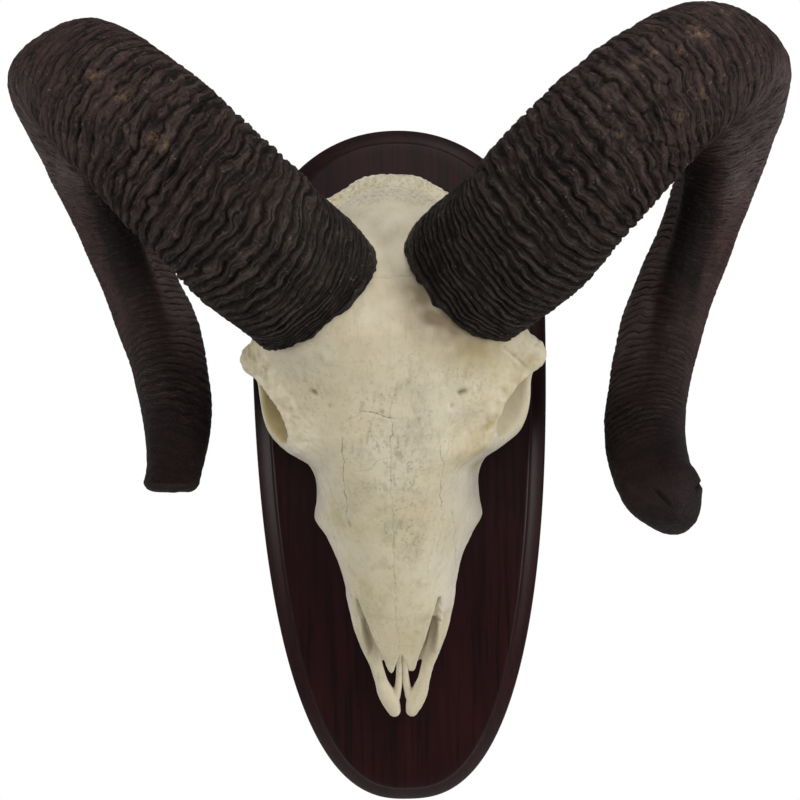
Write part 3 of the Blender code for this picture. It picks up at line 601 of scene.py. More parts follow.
def keratin_material():
    """Dark horn: black in the grooves as painted shade, grey-brown ridges with painted highlights, painted
    sheen and shade on its sides, darker again towards the tip.
    """
    n = Nodes("horn_keratin")
    place = n.place()
    height, far = n.attribute("height"), n.attribute("far")
    mottle, fine = n.noise(place, 60.0, 5.0), n.noise(place, 420.0, 5.0, 0.7)
    grain = n.noise(place, 1300.0, 3.0)
    # strands run along the horn, rings round it
    drum = n.attribute("drum_x"), n.attribute("drum_y")
    strand = n.noise(n.place((1, 1, 0.25), n.joined(*drum, n.attribute("drum_z"))), 800.0, 4.0, 0.65)
    ring = n.noise(n.place((0.12, 0.12, 1.5), n.joined(*drum, n.attribute("grown"))), 800.0, 4.0, 0.6)
    lined = n.ramp(far, 0.45, 0.80, 1.0, 0.35)
    early = n.ramp(far, 0.15, 0.60, 1.0, 0.15)
    near_skull, bend, tip = (n.mix(n.ramp(mottle, 0.35, 0.7), *KERATIN[k]) for k in ("base", "bend", "tip"))
    n.base = n.mix(n.ramp(far, 0.05, 0.30), near_skull, bend)
    n.tint(tip, n.ramp(far, 0.62, 0.92))
    # painted sheen on one side round the bend, and on the flat side
    n.tint(KERATIN["painted_sheen"], n.attribute("pale"), 0.8)
    # painted shade on the side in the curl, under the first stretch
    n.tint(KERATIN["shaded_side"], n.attribute("dark"))
    n.tint(KERATIN["splits"], n.ramp(strand, 0.42, 0.30), early, 0.6)
    n.tint(KERATIN["rings"], n.ramp(ring, 0.49, 0.36), lined)
    # paler crests, with painted highlights on them
    crest = n.times(n.ramp(height, 0.50, 0.95), n.ramp(ring, 0.44, 0.64))
    n.tint(KERATIN["crests_and_highlights"], crest, n.ramp(far, 0.12, 0.34, 0.62, 0.32))
    # pale flecks, partly painted glints
    glint_fleck = n.times(n.ramp(n.times(grain, strand), 0.34, 0.42), n.ramp(height, 0.4, 0.9))
    n.tint(KERATIN["flecks_and_glints"], glint_fleck, n.ramp(far, 0.5, 0.75, 1.0, 0.0), 0.75)
    # painted shade in the valleys between the ridges, and dark cracks
    n.tint(KERATIN["shaded_grooves"], n.attribute("groove_shade_and_cracks"), 0.92)
    patch = n.math("MULTIPLY", n.attribute("worn"), n.ramp(fine, 0.38, 0.58), clamp=True)
    n.tint(KERATIN["worn"], patch, 0.8)
    bumps = n.bump(fine, 0.0011, 0.9)
    bumps = n.bump(strand, 0.0011, early, below=bumps)
    bumps = n.bump(ring, 0.0016, lined, below=bumps)
    bumps = n.bump(grain, 0.0005, 0.8, below=bumps)
    return n.finish(Roughness=n.ramp(fine, 0.3, 0.7, 0.30, 0.58), Normal=bumps, Specular_IOR_Level=0.15)


def mahogany_material():
    """Dark red-brown wood with an upright grain under a clear lacquer."""
    n = Nodes("dark_mahogany")
    grain = n.noise(n.place((1, 1, 0.035)), 520.0, 6.0, 0.6, 0.4)
    broad = n.noise(n.place((1, 1, 0.12)), 70.0, 4.0, 0.55, 0.6)
    n.base = n.mix(n.ramp(broad, 0.3, 0.7), MAHOGANY["dark"], MAHOGANY["red"])
    n.tint(MAHOGANY["grain"], n.ramp(grain, 0.48, 0.68), 0.75)
    bumps = n.bump(grain, 0.00012, 0.3)
    return n.finish(Roughness=0.42, Normal=bumps, Coat_Weight=0.20, Coat_Roughness=0.30,
                    Specular_IOR_Level=0.08)


def steel_material():
    """Steel with fine upright scratches."""
    n = Nodes("satin_steel")
    n.base = (*STEEL, 1)
    scratch = n.noise(n.place((1, 1, 0.05)), 900.0, 3.0)
    return n.finish(Metallic=1.0, Roughness=n.ramp(scratch, 0.3, 0.7, 0.28, 0.42))


def floor_material():
    """Pale matt floor that fades out towards its rim."""
    n = Nodes("pale_floor")
    n.base = (*FLOOR_GREY, 1)
    coordinate = n.add("TexCoord").outputs["Object"]
    length = n.add("VectorMath", operation="LENGTH")
    n.plug(length.inputs[0], coordinate)
    inner, outer = (FLOOR_RADIUS * share for share in FLOOR_FADE)
    fade = n.ramp(length.outputs["Value"], inner, outer, 1.0, 0.0)
    glow = n.times(n.add("LightPath").outputs["Is Camera Ray"], FLOOR_GLOW)
    return n.finish(Roughness=0.9, Alpha=fade, Emission_Color=(1.0, 1.0, 1.0), Emission_Strength=glow)


# ---------------------------------------------------------------- skull: shapes as distances
# Each shape is (distance, low corner, high corner). distance(x, r, z) gives mm outside the shape
# (negative inside) at arrays of across, rise and z that fit together.
def ball(centre, radii, turn=None):
    """An ellipsoid; turn is a rotation matrix."""
    centre, radii = np.array(centre, float), np.array(radii, float)
    turn = np.eye(3) if turn is None else turn

    def distance(x, r, z):
        dx, dr, dz = x - centre[0], r - centre[1], z - centre[2]
        near = steep = 0
        for k in range(3):
            own = (dx * turn[0, k] + dr * turn[1, k] + dz * turn[2, k]) / radii[k]
            near = near + own * own
            steep = steep + (own / radii[k]) ** 2
        near = np.sqrt(near)
        return near * (near - 1) / np.sqrt(steep + 1e-9)

    return distance, centre - radii.max(), centre + radii.max()


def between(stops, share):
    """A stop on the smooth line through four stops, share of the way from the second to the third."""
    before, one, two, after = stops
    return (one * 2 + (two - before) * share + (before * 2 - one * 5 + two * 4 - after) * share**2
            + (one * 3 - before - two * 3 + after) * share**3) / 2


def smooth_line(stops, steps=4):
    """The same line through stops, with steps times as many."""
    stops = np.array(stops, float)
    ring = np.allclose(stops[0], stops[-1])
    first = stops[-2] if ring else 2 * stops[0] - stops[1]
    last = stops[1] if ring else 2 * stops[-1] - stops[-2]
    padded = np.concatenate([[first], stops, [last]])
    line = [between(padded[n : n + 4], k / steps) for n in range(len(stops) - 1) for k in range(steps)]
    return np.array([*line, stops[-1]])


def bar(stops, squash=(1, 1, 1)):
    """A round bar through stops of (across, rise, z, radius); squash flattens it along an axis."""
    line = smooth_line(stops)
    thickest = line[:, 3].max()
    scaled = line.copy()
    scaled[:, :3] /= squash

    def distance(x, r, z):
        x, r, z = x / squash[0], r / squash[1], z / squash[2]
        best = None
        for one, two in zip(scaled, scaled[1:]):
            wx, wr, wz, grow = two - one
            dx, dr, dz = x - one[0], r - one[1], z - one[2]
            share = np.clip((dx * wx + dr * wr + dz * wz) / (wx * wx + wr * wr + wz * wz + 1e-9), 0, 1)
            away = np.sqrt((dx - share * wx) ** 2 + (dr - share * wr) ** 2 + (dz - share * wz) ** 2)
            away = away - one[3] - share * grow
            best = away if best is None else np.minimum(best, away)
        return best * min(squash)

    reach = thickest * max(squash)
    return distance, line[:, :3].min(0) - reach, line[:, :3].max(0) + reach


def smooth_min(one, two, soft):
    """The smaller of two distances, rounded over soft mm where they are alike."""
    near = np.maximum(soft - np.abs(one - two), 0) / soft
    return np.minimum(one, two) - near * near * soft / 4


class Field:
    """Distances in mm to the bone's surface, negative inside it, on a grid of skull measures."""

    def __init__(self, low, value):
        self.low = np.array(low, float)
        self.value = value
        self.axes = [
            (start + GRID_STEP * np.arange(count)).astype(np.float32)
            for start, count in zip(low, value.shape)
        ]

    def window(self, low, high, margin):
        """The part of the grid from low to high: (its slices, its measures)."""
        spans = tuple(
            slice(*np.searchsorted(axis, (a - margin, b + margin)))
            for axis, a, b in zip(self.axes, low, high)
        )
        x, r, z = (axis[span] for axis, span in zip(self.axes, spans))
        return spans, (x[:, None, None], r[None, :, None], z[None, None, :])

    def blend(self, shapes, sign):
        for (distance, low, high), fillet in shapes:
            spans, place = self.window(low, high, fillet + WINDOW_MARGIN)
            self.value[spans] = sign * smooth_min(sign * self.value[spans], distance(*place), fillet)

    def add(self, shapes):
        """Joins (shape, fillet) pairs on, one after the other."""
        self.blend(shapes, 1)

    def cut(self, shapes):
        """Cuts (shape, fillet) pairs out."""
        self.blend(shapes, -1)

    def mirrored(self):
        """The whole field, from one that holds only the side across >= 0."""
        whole = np.concatenate([self.value[:0:-1], self.value])
        return Field((-self.axes[0][-1], *self.low[1:]), whole)


def doubled(values):
    """The same values on a grid twice as fine."""
    for axis in range(3):
        values = np.moveaxis(values, axis, 0)
        fine = np.empty((2 * len(values) - 1, *values.shape[1:]), np.float32)
        fine[::2] = values
        fine[1::2] = (values[:-1] + values[1:]) / 2
        values = np.moveaxis(fine, 0, axis)
    return values


def face_outline(z):
    """Half of the cross-section at each z, from the roof round to the floor: (points, 2, z)."""
    roof, edge, cheek, floor = (curve(k, z) for k in (ROOF_RISE, ROOF_EDGE_RISE, CHEEK_RISE, FLOOR_RISE))
    roof_half, cheek_half, floor_half = (curve(k, z) for k in (ROOF_HALF, CHEEK_HALF, FLOOR_HALF))
    half = [
        (0 * z, roof), (roof_half * 0.55, roof - (roof - edge) * 0.2), (roof_half, edge),
        (roof_half * 0.35 + cheek_half * 0.65, (edge + cheek) / 2 + 3), (cheek_half, cheek),
        (cheek_half * 0.92, cheek - 0.35 * (cheek - floor)), (floor_half, floor + 3),
        (floor_half * 0.7, floor), (0 * z, floor),
    ]
    stops = np.array([(-half[1][0], half[1][1]), *half, (-half[-2][0], half[-2][1])])
    line = [between(stops[n : n + 4], k / 4) for n in range(len(half) - 1) for k in range(4)]
    return np.array([*line, stops[-2]])


def face_and_braincase():
    """The field of the loft from the front of the maxilla to the back of the braincase.

    It is worked out on a grid of twice the step, then doubled.
    """
    x, r, z = (
        low + 2 * GRID_STEP * np.arange((count + 1) // 2) for low, count in zip(GRID_LOW, GRID_COUNT)
    )
    across, rise = x[:, None, None], r[None, :, None]
    outline = face_outline(z)
    nearest = np.full((len(x), len(r), len(z)), 1e6, np.float32)
    inside = np.zeros(nearest.shape, bool)
    for (x0, r0), (x1, r1) in zip(outline, outline[1:]):
        wx, wr = x1 - x0, r1 - r0
        dx, dr = across - x0, rise - r0
        share = np.clip((dx * wx + dr * wr) / (wx * wx + wr * wr + 1e-9), 0, 1)
        nearest = np.minimum(nearest, (dx - share * wx) ** 2 + (dr - share * wr) ** 2)
        crossing = x0 + dr * wx / np.where(np.abs(wr) < 1e-9, 1e-9, wr)
        inside ^= ((r0 > rise) != (r1 > rise)) & (across < crossing)
    distance = np.sqrt(nearest) * np.where(inside, -1, 1)
    ends = np.maximum(z - FACE_ENDS[1], FACE_ENDS[0] - z)[None, None]
    return Field(GRID_LOW, doubled(-smooth_min(-distance, -ends, 5)))


def nasal_bone():
    """One nasal bone in front of the face: an arched plate that ends in a point."""

    def distance(x, r, z):
        inner, outer = curve(NASAL_INNER, z), curve(NASAL_OUTER, z)
        thick = curve(NASAL_THICKNESS, z)
        dip, starts, ends = NASAL_DIP
        roof = NASAL_ROOF[0] + (z - NASAL_ROOF_Z) * NASAL_ROOF[1] - dip * smooth_step(starts, ends, z)
        middle = roof - NASAL_ARCH[0] * (x / NASAL_ARCH[1]) ** 2 - thick / 2
        across = np.abs(x - (inner + outer) / 2) - (outer - inner) / 2
        up = np.abs(r - middle) - thick / 2
        plate = -smooth_min(-across, -up, NASAL_ROUNDING)
        return -smooth_min(-plate, -(z - NASAL_ROOF_Z - NASAL_UNDER_FACE), 3)

    return distance, np.array((0, 36, -112)), np.array((24, 68, -58))


def cheek_tooth(n):
    """One tooth's crown: two lobes with upright folds on the outside."""
    first, last = TOOTH_ROW
    pitch = (last - first) / (TEETH_ON_A_SIDE - 1)
    z0 = first + pitch * n
    across = 22 + 8 * math.sin(math.pi * (n + 1.2) / 7.5)
    half_length, width = pitch * (0.44 + 0.02 * n), 3.9 + 0.45 * n
    lobes = (-0.5, 0.5) if n > 2 else (0,)

    def distance(x, r, z):
        crown = None
        for lobe in lobes:
            reach = half_length / len(lobes) * 1.06
            dx, dz = (x - across) / width, (z - z0 - lobe * half_length) / reach
            own = (np.sqrt(dx * dx + dz * dz) - 1) * min(width, reach)
            crown = own if crown is None else smooth_min(crown, own, 0.8)
            fold_z = z0 + (lobe + 0.5 / len(lobes)) * half_length
            fold = np.hypot(x - across - width * 0.86, z - fold_z) - 1.0
            crown = smooth_min(crown, fold, 0.7)
        taper = crown + 0.03 * np.maximum(12 - r, 0)
        return -smooth_min(-taper, -(TOOTH_FOOT - r), 0.8)

    low = (across - width - 2, TOOTH_FOOT, z0 - half_length - 2)
    return distance, np.array(low), np.array((across + width + 2, 20, z0 + half_length + 2))


def turned(forwards, upwards):
    """The rotation of an eye socket that looks nose-wards and up to the viewer, in degrees."""
    one, two = math.radians(forwards), math.radians(upwards)
    nosewards = np.array([[math.cos(one), 0, math.sin(one)], [0, 1, 0], [-math.sin(one), 0, math.cos(one)]])
    upward = np.array([[math.cos(two), -math.sin(two), 0], [math.sin(two), math.cos(two), 0], [0, 0, 1]])
    return nosewards @ upward


def orbit():
    """The hollow of the left eye socket."""
    return ball(ORBIT_CENTRE, ORBIT_RADII, turned(*ORBIT_TURN))


def balls(table):
    """A table of balls as (shape, fillet) pairs."""
    return [(ball(centre, radii), fillet) for centre, radii, fillet in table]


def bars(table):
    """A table of bars as (shape, fillet) pairs."""
    return [(bar(stops, *squash), fillet) for stops, fillet, *squash in table]


def skull_field():
    """The whole skull: what both sides share is made once and mirrored."""
    field = face_and_braincase()
    field.add(balls(BRAINCASE_BALLS) + bars(SKULL_BARS) + balls(SKULL_BALLS))
    field.cut([(orbit(), ORBIT_FILLET)] + balls(SKULL_HOLLOWS) + bars(SKULL_GROOVES))
    field.add((cheek_tooth(n), TOOTH_FILLET) for n in range(TEETH_ON_A_SIDE))
    field.add([(nasal_bone(), NASAL_FILLET)] + bars(THIN_BARS))
    field = field.mirrored()
    field.cut(balls(ONE_SIDED_HOLLOWS))
    field.add((ball(centre, (radius, radius, radius)), CRUMB_FILLET) for centre, radius in CRUMBS)
    field.add((pedicle(horn), PEDICLE_FILLET) for horn in HORNS.values())
    return field


def lean(x, rise, z):
    """How far across the skull's upper surfaces lean, less so at the brows and the back."""
    upper = smooth_step(32, 72, rise) * (1 - 0.7 * smooth_step(80, 115, z))
    return UPPER_LEAN * upper * (1 - 0.65 * smooth_step(58, 72, np.abs(x)))


def skull_point(place):
    """Metres to (across, rise, z) in the skull's own mm."""
    rise, z = -place[1] / MM - (PLAQUE_THICKNESS + GAP) / MM, place[2] / MM - LIFT
    across = place[0] / MM - MIDLINE
    return np.array([across - lean(across, rise, z), rise, z])


def root_in_skull(horn):
    """A horn's root and the direction it leaves in, in the skull's own measures."""
    return skull_point(mirrored(horn["root"], horn)), root_way(horn) * (1, -1, 1)


def pedicle(horn):
    """The stump of bone that carries a horn, up to inside the sheath."""
    root, way = root_in_skull(horn)
    girth = horn["girths"][0] / MM
    stops = [(*(root + way * depth), girth * share) for depth, share in PEDICLE_STOPS]
    distance, low, high = bar(stops)
    ahead = root + way * PEDICLE_END

    def capped(x, r, z):
        beyond = (x - ahead[0]) * way[0] + (r - ahead[1]) * way[1] + (z - ahead[2]) * way[2]
        return -smooth_min(-distance(x, r, z), -beyond, 3)

    return capped, low, high


# ---------------------------------------------------------------- skull: mesh
def surface_net(value):
    """(points in grid steps, quads) of the surface where value changes sign."""
    inside = value < 0
    shape = np.array(value.shape)
    strides = np.array([shape[1] * shape[2], shape[2], 1])
    cells, places, quads = [], [], []
    for axis in range(3):
        low = [slice(None)] * 3
        high = [slice(None)] * 3
        low[axis], high[axis] = slice(0, -1), slice(1, None)
        low, high = tuple(low), tuple(high)
        at = np.argwhere(inside[low] != inside[high])
        one, two = value[low][tuple(at.T)], value[high][tuple(at.T)]
        cross = at.astype(np.float64)
        cross[:, axis] += one / (one - two)
        side, other = (axis + 1) % 3, (axis + 2) % 3
        around = []
        for ds, do in ((0, 0), (-1, 0), (-1, -1), (0, -1)):
            cell = at.copy()
            cell[:, side] += ds
            cell[:, other] += do
            around.append(cell @ strides)
            cells.append(around[-1])
            places.append(cross)
        quad = np.stack(around, 1)
        quads.append(np.where((one < 0)[:, None], quad, quad[:, ::-1]))
    cells, places = np.concatenate(cells), np.concatenate(places)
    names, index = np.unique(cells, return_inverse=True)
    count = np.bincount(index)
    points = np.stack([np.bincount(index, places[:, k]) / count for k in range(3)], 1)
    return points, np.searchsorted(names, np.concatenate(quads))


def softened(points, quads, rounds):
    """Evens out a quad mesh without shrinking it."""
    one, two = quads.ravel(), np.roll(quads, -1, 1).ravel()
    count = np.bincount(one, minlength=len(points)) + np.bincount(two, minlength=len(points))
    for pull in (0.5, -0.52) * rounds:
        total = np.stack([
            np.bincount(one, points[two, k], len(points)) + np.bincount(two, points[one, k], len(points))
            for k in range(3)
        ], 1)
        points = points + pull * (total / count[:, None] - points)
    return points


def blurred(solid, reach):
    """The share of bone within a cube of reach grid steps round each grid point."""
    for axis in range(3):
        values = np.moveaxis(solid, axis, 0)
        before, after = np.repeat(values[:1], reach + 1, 0), np.repeat(values[-1:], reach, 0)
        total = np.cumsum(np.concatenate([before, values, after]), 0, dtype=np.float32)
        width = 2 * reach + 1
        solid = np.moveaxis((total[width:] - total[:-width]) / width, 0, axis)
    return solid


def sampled(values, points):
    """The grid's values, evened out between its points, at points in grid steps."""
    low = np.clip(np.floor(points).astype(int), 0, np.array(values.shape) - 2)
    part = np.clip(points - low, 0, 1)
    total = 0
    for corner in np.ndindex(2, 2, 2):
        weight = np.prod(np.where(corner, part, 1 - part), 1)
        total = total + weight * values[tuple((low + corner).T)]
    return total


def line_distance(p, one, two):
    """Distances in the (across, z) plane from points to the line between two places."""
    one, two = np.array(one, float), np.array(two, float)
    off, way = p[:, (0, 2)] - one, two - one
    share = np.clip(off @ way / (way @ way), 0, 1)
    return np.linalg.norm(off - share[:, None] * way, axis=1)


def seam_attributes(p, upper, table, along):
    """(signed distance to the nearest seam in mm, its darkness) at each point."""
    place, off_axis = (p[:, 2], p[:, 0]) if along else (p[:, 0], p[:, 2])
    signed, darkness = np.full(len(p), 3.0), np.zeros(len(p))
    for number, (line, dark) in enumerate(table):
        seed = 60 + number + 10 * along
        off = off_axis - curve(line, place) - lumps(p, SEAM_WANDER, seed)
        strength = curve(dark, place) * upper * smooth_step(2.8, 1.8, np.abs(off))
        strength = strength * np.clip(0.85 + 0.9 * noise(p, 6.0, seed + 50), 0.1, 1)
        ends = (place > min(k for k, _ in line) - 0.5) & (place < max(k for k, _ in line) + 0.5)
        nearer = ends & (np.abs(off) < np.abs(signed))
        signed = np.where(nearer, off, signed)
        darkness = np.where(nearer, strength, darkness)
    return np.clip(signed, -3, 3), darkness


def skull_parts(p, normals):
    """How much each point belongs to the parts that look different, from 0 to 1."""
    across, rise, z = p.T
    stops = zip(ROUGH_EDGE, ROUGH_EDGE[1:])
    margin = np.min([line_distance(np.abs(p), one, two) for one, two in stops], 0)
    distance, _, _ = orbit()
    socket = smooth_step(2.0, 0.4, np.abs(distance(np.abs(across), rise, z)))
    return SimpleNamespace(
        upper=smooth_step(0.0, 0.45, normals[:, 1]) * smooth_step(38, 48, rise),
        crest=smooth_step(0, 4, z - GRAIN_ABOVE_Z - 2 * noise(p, 12, 6)) * smooth_step(35, 50, rise),
        brow=smooth_step(60, 70, np.abs(across)) * smooth_step(50, 60, z) * smooth_step(70, 80, rise),
        from_margin=margin,
        margin=smooth_step(16, 5, margin) * smooth_step(74, 82, rise) * np.where(across < 0, 1, 0.55),
        socket=socket,
        left_socket=socket * (across > 0),
    )


def bone_relief(p, parts):
    """The relief in mm at each point, but for seams and pits."""
    size, depth, seed = MARGIN_CRACKS
    relief = lumps(p, BONE_LUMPS) + parts.crest * (lumps(p, CREST_LUMPS) - 0.15)
    relief += parts.brow * lumps(p, BROW_LUMPS)
    return relief + parts.margin * (lumps(p, MARGIN_LUMPS) - depth * np.abs(noise(p, size, seed)))


def seams(p, parts):
    """(how deep the seams are in mm, the material's attributes for them)."""
    depth, attributes = 0, {}
    for name, table in (("along", SEAMS_ALONG), ("across", SEAMS_ACROSS)):
        signed, dark = seam_attributes(p, parts.upper, table, name == "along")
        attributes["seam_" + name], attributes["dark_" + name] = signed, dark
        depth = depth + SEAM_DEPTH * dark * bell(signed, SEAM_WIDTH)
    return depth, attributes


def pits(p, parts):
    """(how deep the pits are in mm, how much each point lies in one)."""
    total, pit = np.zeros(len(p)), np.zeros(len(p))
    for one, two, width, depth in PITS:
        away = line_distance(p, one, two) * (1 + 0.35 * noise(p, 2.6, 14))
        inside = bell(away, width) * parts.upper
        total += depth * inside
        pit = np.maximum(pit, inside * min(depth / 1.6, 1))
    return total, 0.8 * smooth_step(0.25, 1.0, pit)


def shade_and_stain_in_hollows(parts, solid, steps):
    """How much stain and painted shade each point gets: in hollows, and as painted shade in the right eye
    socket, less in the left one.
    """
    near, wide = (sampled(blurred(solid, reach), steps) for reach in (3, 11))
    hollow_shade_and_stain = smooth_step(0.52, 0.80, near) + smooth_step(0.50, 0.74, wide)
    in_sockets = 0.9 * parts.socket - 0.8 * parts.left_socket
    return np.maximum(hollow_shade_and_stain * (1 - 0.8 * parts.left_socket), in_sockets)


def bleaching_and_light(p, parts):
    """Where the bone is palest: bleached at the margins and the top of the head, and painted light in the
    left socket.
    """
    top = smooth_step(84, 110, p[:, 2]) * (1 - 0.5 * parts.crest) * (0.6 + 0.7 * noise(p, 9, 19))
    margin = parts.margin * (1 - parts.brow) * (0.7 + noise(p, 4, 17))
    pale = np.clip(np.maximum(margin, top), 0, 1) * parts.upper
    return np.maximum(pale, 0.7 * parts.left_socket)


def dust(p):
    """Grey dust along the middle of the face and beside the horns."""
    across, _, z = p.T
    middle = bell(across + 1, 16) * band(z, -70, 5, 40, 70)
    beside_horns = bell(np.abs(across) - 40, 11) * bell(z - 46, 11)
    dusty = middle + 0.6 * beside_horns
    return 0.3 + 1.1 * dusty * (0.6 + noise(p, 12, 12)) + 0.3 * noise(p, 20, 13)


def stains_and_shade(p, parts):
    """Yellow-brown stains, some of them painted shade below the left horn and before the left eye socket,
    and one along the upper margin of the left eye socket.
    """
    total = np.zeros(len(p))
    for place, size, strength in STAINS_AND_SHADE:
        total += strength * bell(np.linalg.norm(p - place, axis=1), size)
    strength, width = EDGE_STAIN
    total += strength * bell(parts.from_margin, width) * (p[:, 0] > 0) * (p[:, 1] > 70)
    return total * (0.9 + 0.8 * noise(p, 9, 15))


def horn_shadow_and_grime(p):
    """Painted shadow and dirt on the bone below the rims of the horns: a little dirt round both, and the
    shadow that the left one casts beside and below it.
    """
    total = np.zeros(len(p))
    for horn in HORNS.values():
        root, way = root_in_skull(horn)
        off = p - root
        away = np.linalg.norm(off - (off @ way)[:, None] * way, axis=1) - horn["girths"][0] / MM
        inner = smooth_step(-30, 5, -off[:, 0] * horn["side"])
        below = smooth_step(8, -14, off[:, 2])
        total += np.exp(-np.maximum(away, 0) / 5.5) * (0.15 + 0.85 * inner * below * (horn["side"] > 0))
    return total * (0.85 + 0.5 * noise(p, 6, 18))


def bone_details(p, normals, solid, steps):
    """(relief in mm, the material's attributes) at each point of the skull."""
    parts = skull_parts(p, normals)
    seam_depth, attributes = seams(p, parts)
    pit_depth, attributes["pit"] = pits(p, parts)
    shares = {
        "hollow_shade_and_stain": shade_and_stain_in_hollows(parts, solid, steps),
        "crust": parts.crest + 0.5 * parts.brow * (p[:, 0] < 0),
        "bleached_and_lit": bleaching_and_light(p, parts),
        "dusty": dust(p),
        "stain_and_shade": stains_and_shade(p, parts),
        "horn_shadow_grime": horn_shadow_and_grime(p),
        # painted light on the faces turned away from the viewer
        "side": smooth_step(0.8, 0.3, normals[:, 1]) * smooth_step(15, 25, p[:, 1]),
        "enamel": smooth_step(13.5, 10, p[:, 1] + 20 * (np.abs(p[:, 2] + 25) > 42)),
    }
    attributes |= {name: np.clip(share, 0, 1) for name, share in shares.items()}
    return bone_relief(p, parts) - seam_depth - pit_depth, attributes


def build_skull(surface):
    """The bone's mesh: the field's surface, evened out and given its relief."""
    field = skull_field()
    steps, quads = surface_net(field.value)
    steps = softened(steps, quads, MESH_EVENING)
    p = steps * GRID_STEP + field.low
    normals = vertex_normals(p, quads)
    solid = np.clip(0.5 - field.value / (2 * GRID_STEP), 0, 1).astype(np.float32)
    relief, attributes = bone_details(p, normals, solid, steps)
    p = p + normals * relief[:, None]
    x = (MIDLINE + p[:, 0] + lean(*p.T)) * MM
    points = np.stack([x, -(PLAQUE_THICKNESS + GAP) - p[:, 1] * MM, (p[:, 2] + LIFT) * MM], 1)
    obj = make_mesh("skull_bone", points, quads[:, ::-1], surface, attributes)
    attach(obj, "root")
    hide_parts("skull")


# ---------------------------------------------------------------- horns
def mirrored(point, horn):
    """A point or direction, given for the left side, on the horn's own side."""
    return np.array([horn["side"] * point[0], point[1], point[2]], float)


def curl_frame(horn):
    """The spiral's axis, and the two directions across it: to the viewer and up."""
    drop, forward = math.radians(horn["drop"]), math.radians(horn["lean"])
    level = math.cos(forward)
    axis = np.array([math.cos(drop) * level, -math.sin(forward), -math.sin(drop) * level])
    viewer = np.array([0.0, -1.0, 0.0])
    front = unit(viewer - viewer @ axis * axis)
    up = np.cross(front, axis)
    return axis, front, up if up[2] > 0 else -up


def curl_point(horn, share):
    """(centre, way out of the curl) at a share of the spiral's turn."""
    axis, front, up = curl_frame(horn)
    angle = math.radians(horn["start"] + horn["turn"] * share)
    outwards = math.cos(angle) * front + math.sin(angle) * up
    at_start, at_middle, at_tip = horn["curls"]
    curl = (at_start ** ((1 - share) * (1 - 2 * share)) * at_middle ** (4 * share * (1 - share))
            * at_tip ** (share * (2 * share - 1)))
    travel = horn["spread"] * share ** horn["spread_power"]
    centre = np.array(horn["curl_middle"]) + curl * outwards + travel * axis
    return mirrored(centre, horn), mirrored(outwards, horn)


def root_way(horn):
    """The direction in which a horn leaves the skull."""
    tilt, climb = math.radians(horn["tilt"]), math.radians(horn["climb"])
    flat = np.array([math.cos(climb), 0, math.sin(climb)]) * math.cos(tilt)
    return mirrored(flat + np.array([0, -math.sin(tilt), 0]), horn)


def root_point(root, way_out, start, way_in, t):
    """The point at share t of the smooth line from the root to the spiral's start."""
    reach = np.linalg.norm(start - root)
    return (root * (1 + 2 * t) * (1 - t) ** 2 + way_out * reach * t * (1 - t) ** 2
            + start * t * t * (3 - 2 * t) + way_in * reach * t * t * (t - 1))


def horn_spine(horn):
    """Evenly spaced centres (n, 3), ways out of the curl (n, 3), mm along, and the length."""
    start, outwards = curl_point(horn, 0)
    way_in = unit(curl_point(horn, 0.002)[0] - start)
    root, way_out = mirrored(horn["root"], horn), root_way(horn)
    shares = np.arange(ROOT_POINTS) / ROOT_POINTS
    path = [(root_point(root, way_out, start, way_in, share), outwards) for share in shares]
    path += [curl_point(horn, n / (SPINE_POINTS - 1)) for n in range(SPINE_POINTS)]
    centres, ways = (np.array(values) for values in zip(*path))
    lengths = np.concatenate([[0], np.cumsum(np.linalg.norm(np.diff(centres, axis=0), axis=1))]) / MM
    along = np.arange(0, lengths[-1], RING_STEP)
    even, outs = (
        np.stack([np.interp(along, lengths, values[:, k]) for k in range(3)], 1)
        for values in (centres, ways)
    )
    for _ in range(SPINE_EVENING):
        even[1:-1] = even[1:-1] * 0.5 + (even[2:] + even[:-2]) * 0.25
    return even, outs, along, lengths[-1]


def sharp_valley(phase, power=2.4):
    """Rounded ridges with sharp valleys between them: 1 on a crest, 0 in a valley."""
    inner = phase - np.floor(phase)
    return 1 - np.abs(2 * inner**0.85 - 1) ** power


def facing(angle, middle, width):
    """1 on the side of a horn that lies at middle (degrees), falling to 0 beyond width."""
    off = np.abs((np.degrees(angle) - middle + 180) % 360 - 180)
    return smooth_step(width, width * 0.5, off)


def cracks(along, angle, size, seed):
    """1 in the cracks that wander round a horn, 0 between them. size is their spacing in mm."""
    turn, far = np.meshgrid(angle, along)
    x, y = UNROLLED_RADIUS * np.cos(turn), UNROLLED_RADIUS * np.sin(turn)
    drum = np.stack([x, y, far * CRACK_STRETCH], -1).reshape(-1, 3)
    off = np.abs(lumps(drum, [(size, 1.0, 0), (size / 3, 0.25, 1)], seed))
    patches = smooth_step(-0.25, 0.35, noise(drum, size * 1.4, seed + 2))
    return (smooth_step(0.13, 0, off) * patches).reshape(turn.shape)


def painted_sheen_and_shade(turn, far, rough):
    """Above 0 where a sheen is painted on a horn, below 0 where shade is painted on it."""
    pale = facing(turn, 112, 75) * band(far, 0.24, 0.38, 0.50, 0.62)
    pale = pale + 0.85 * facing(turn, *FLAT_SIDE) * band(far, 0.46, 0.56, 0.74, 0.88)
    dark = facing(turn, 184, 35) * smooth_step(0.44, 0.52, far) * (1 - 0.6 * smooth_step(0.66, 0.78, far))
    dark = dark * smooth_step(0.9, 0.80, far)
    return pale * (0.75 + 0.5 * rough(9, 12)) - dark * (1.05 + 0.3 * rough(12, 13))


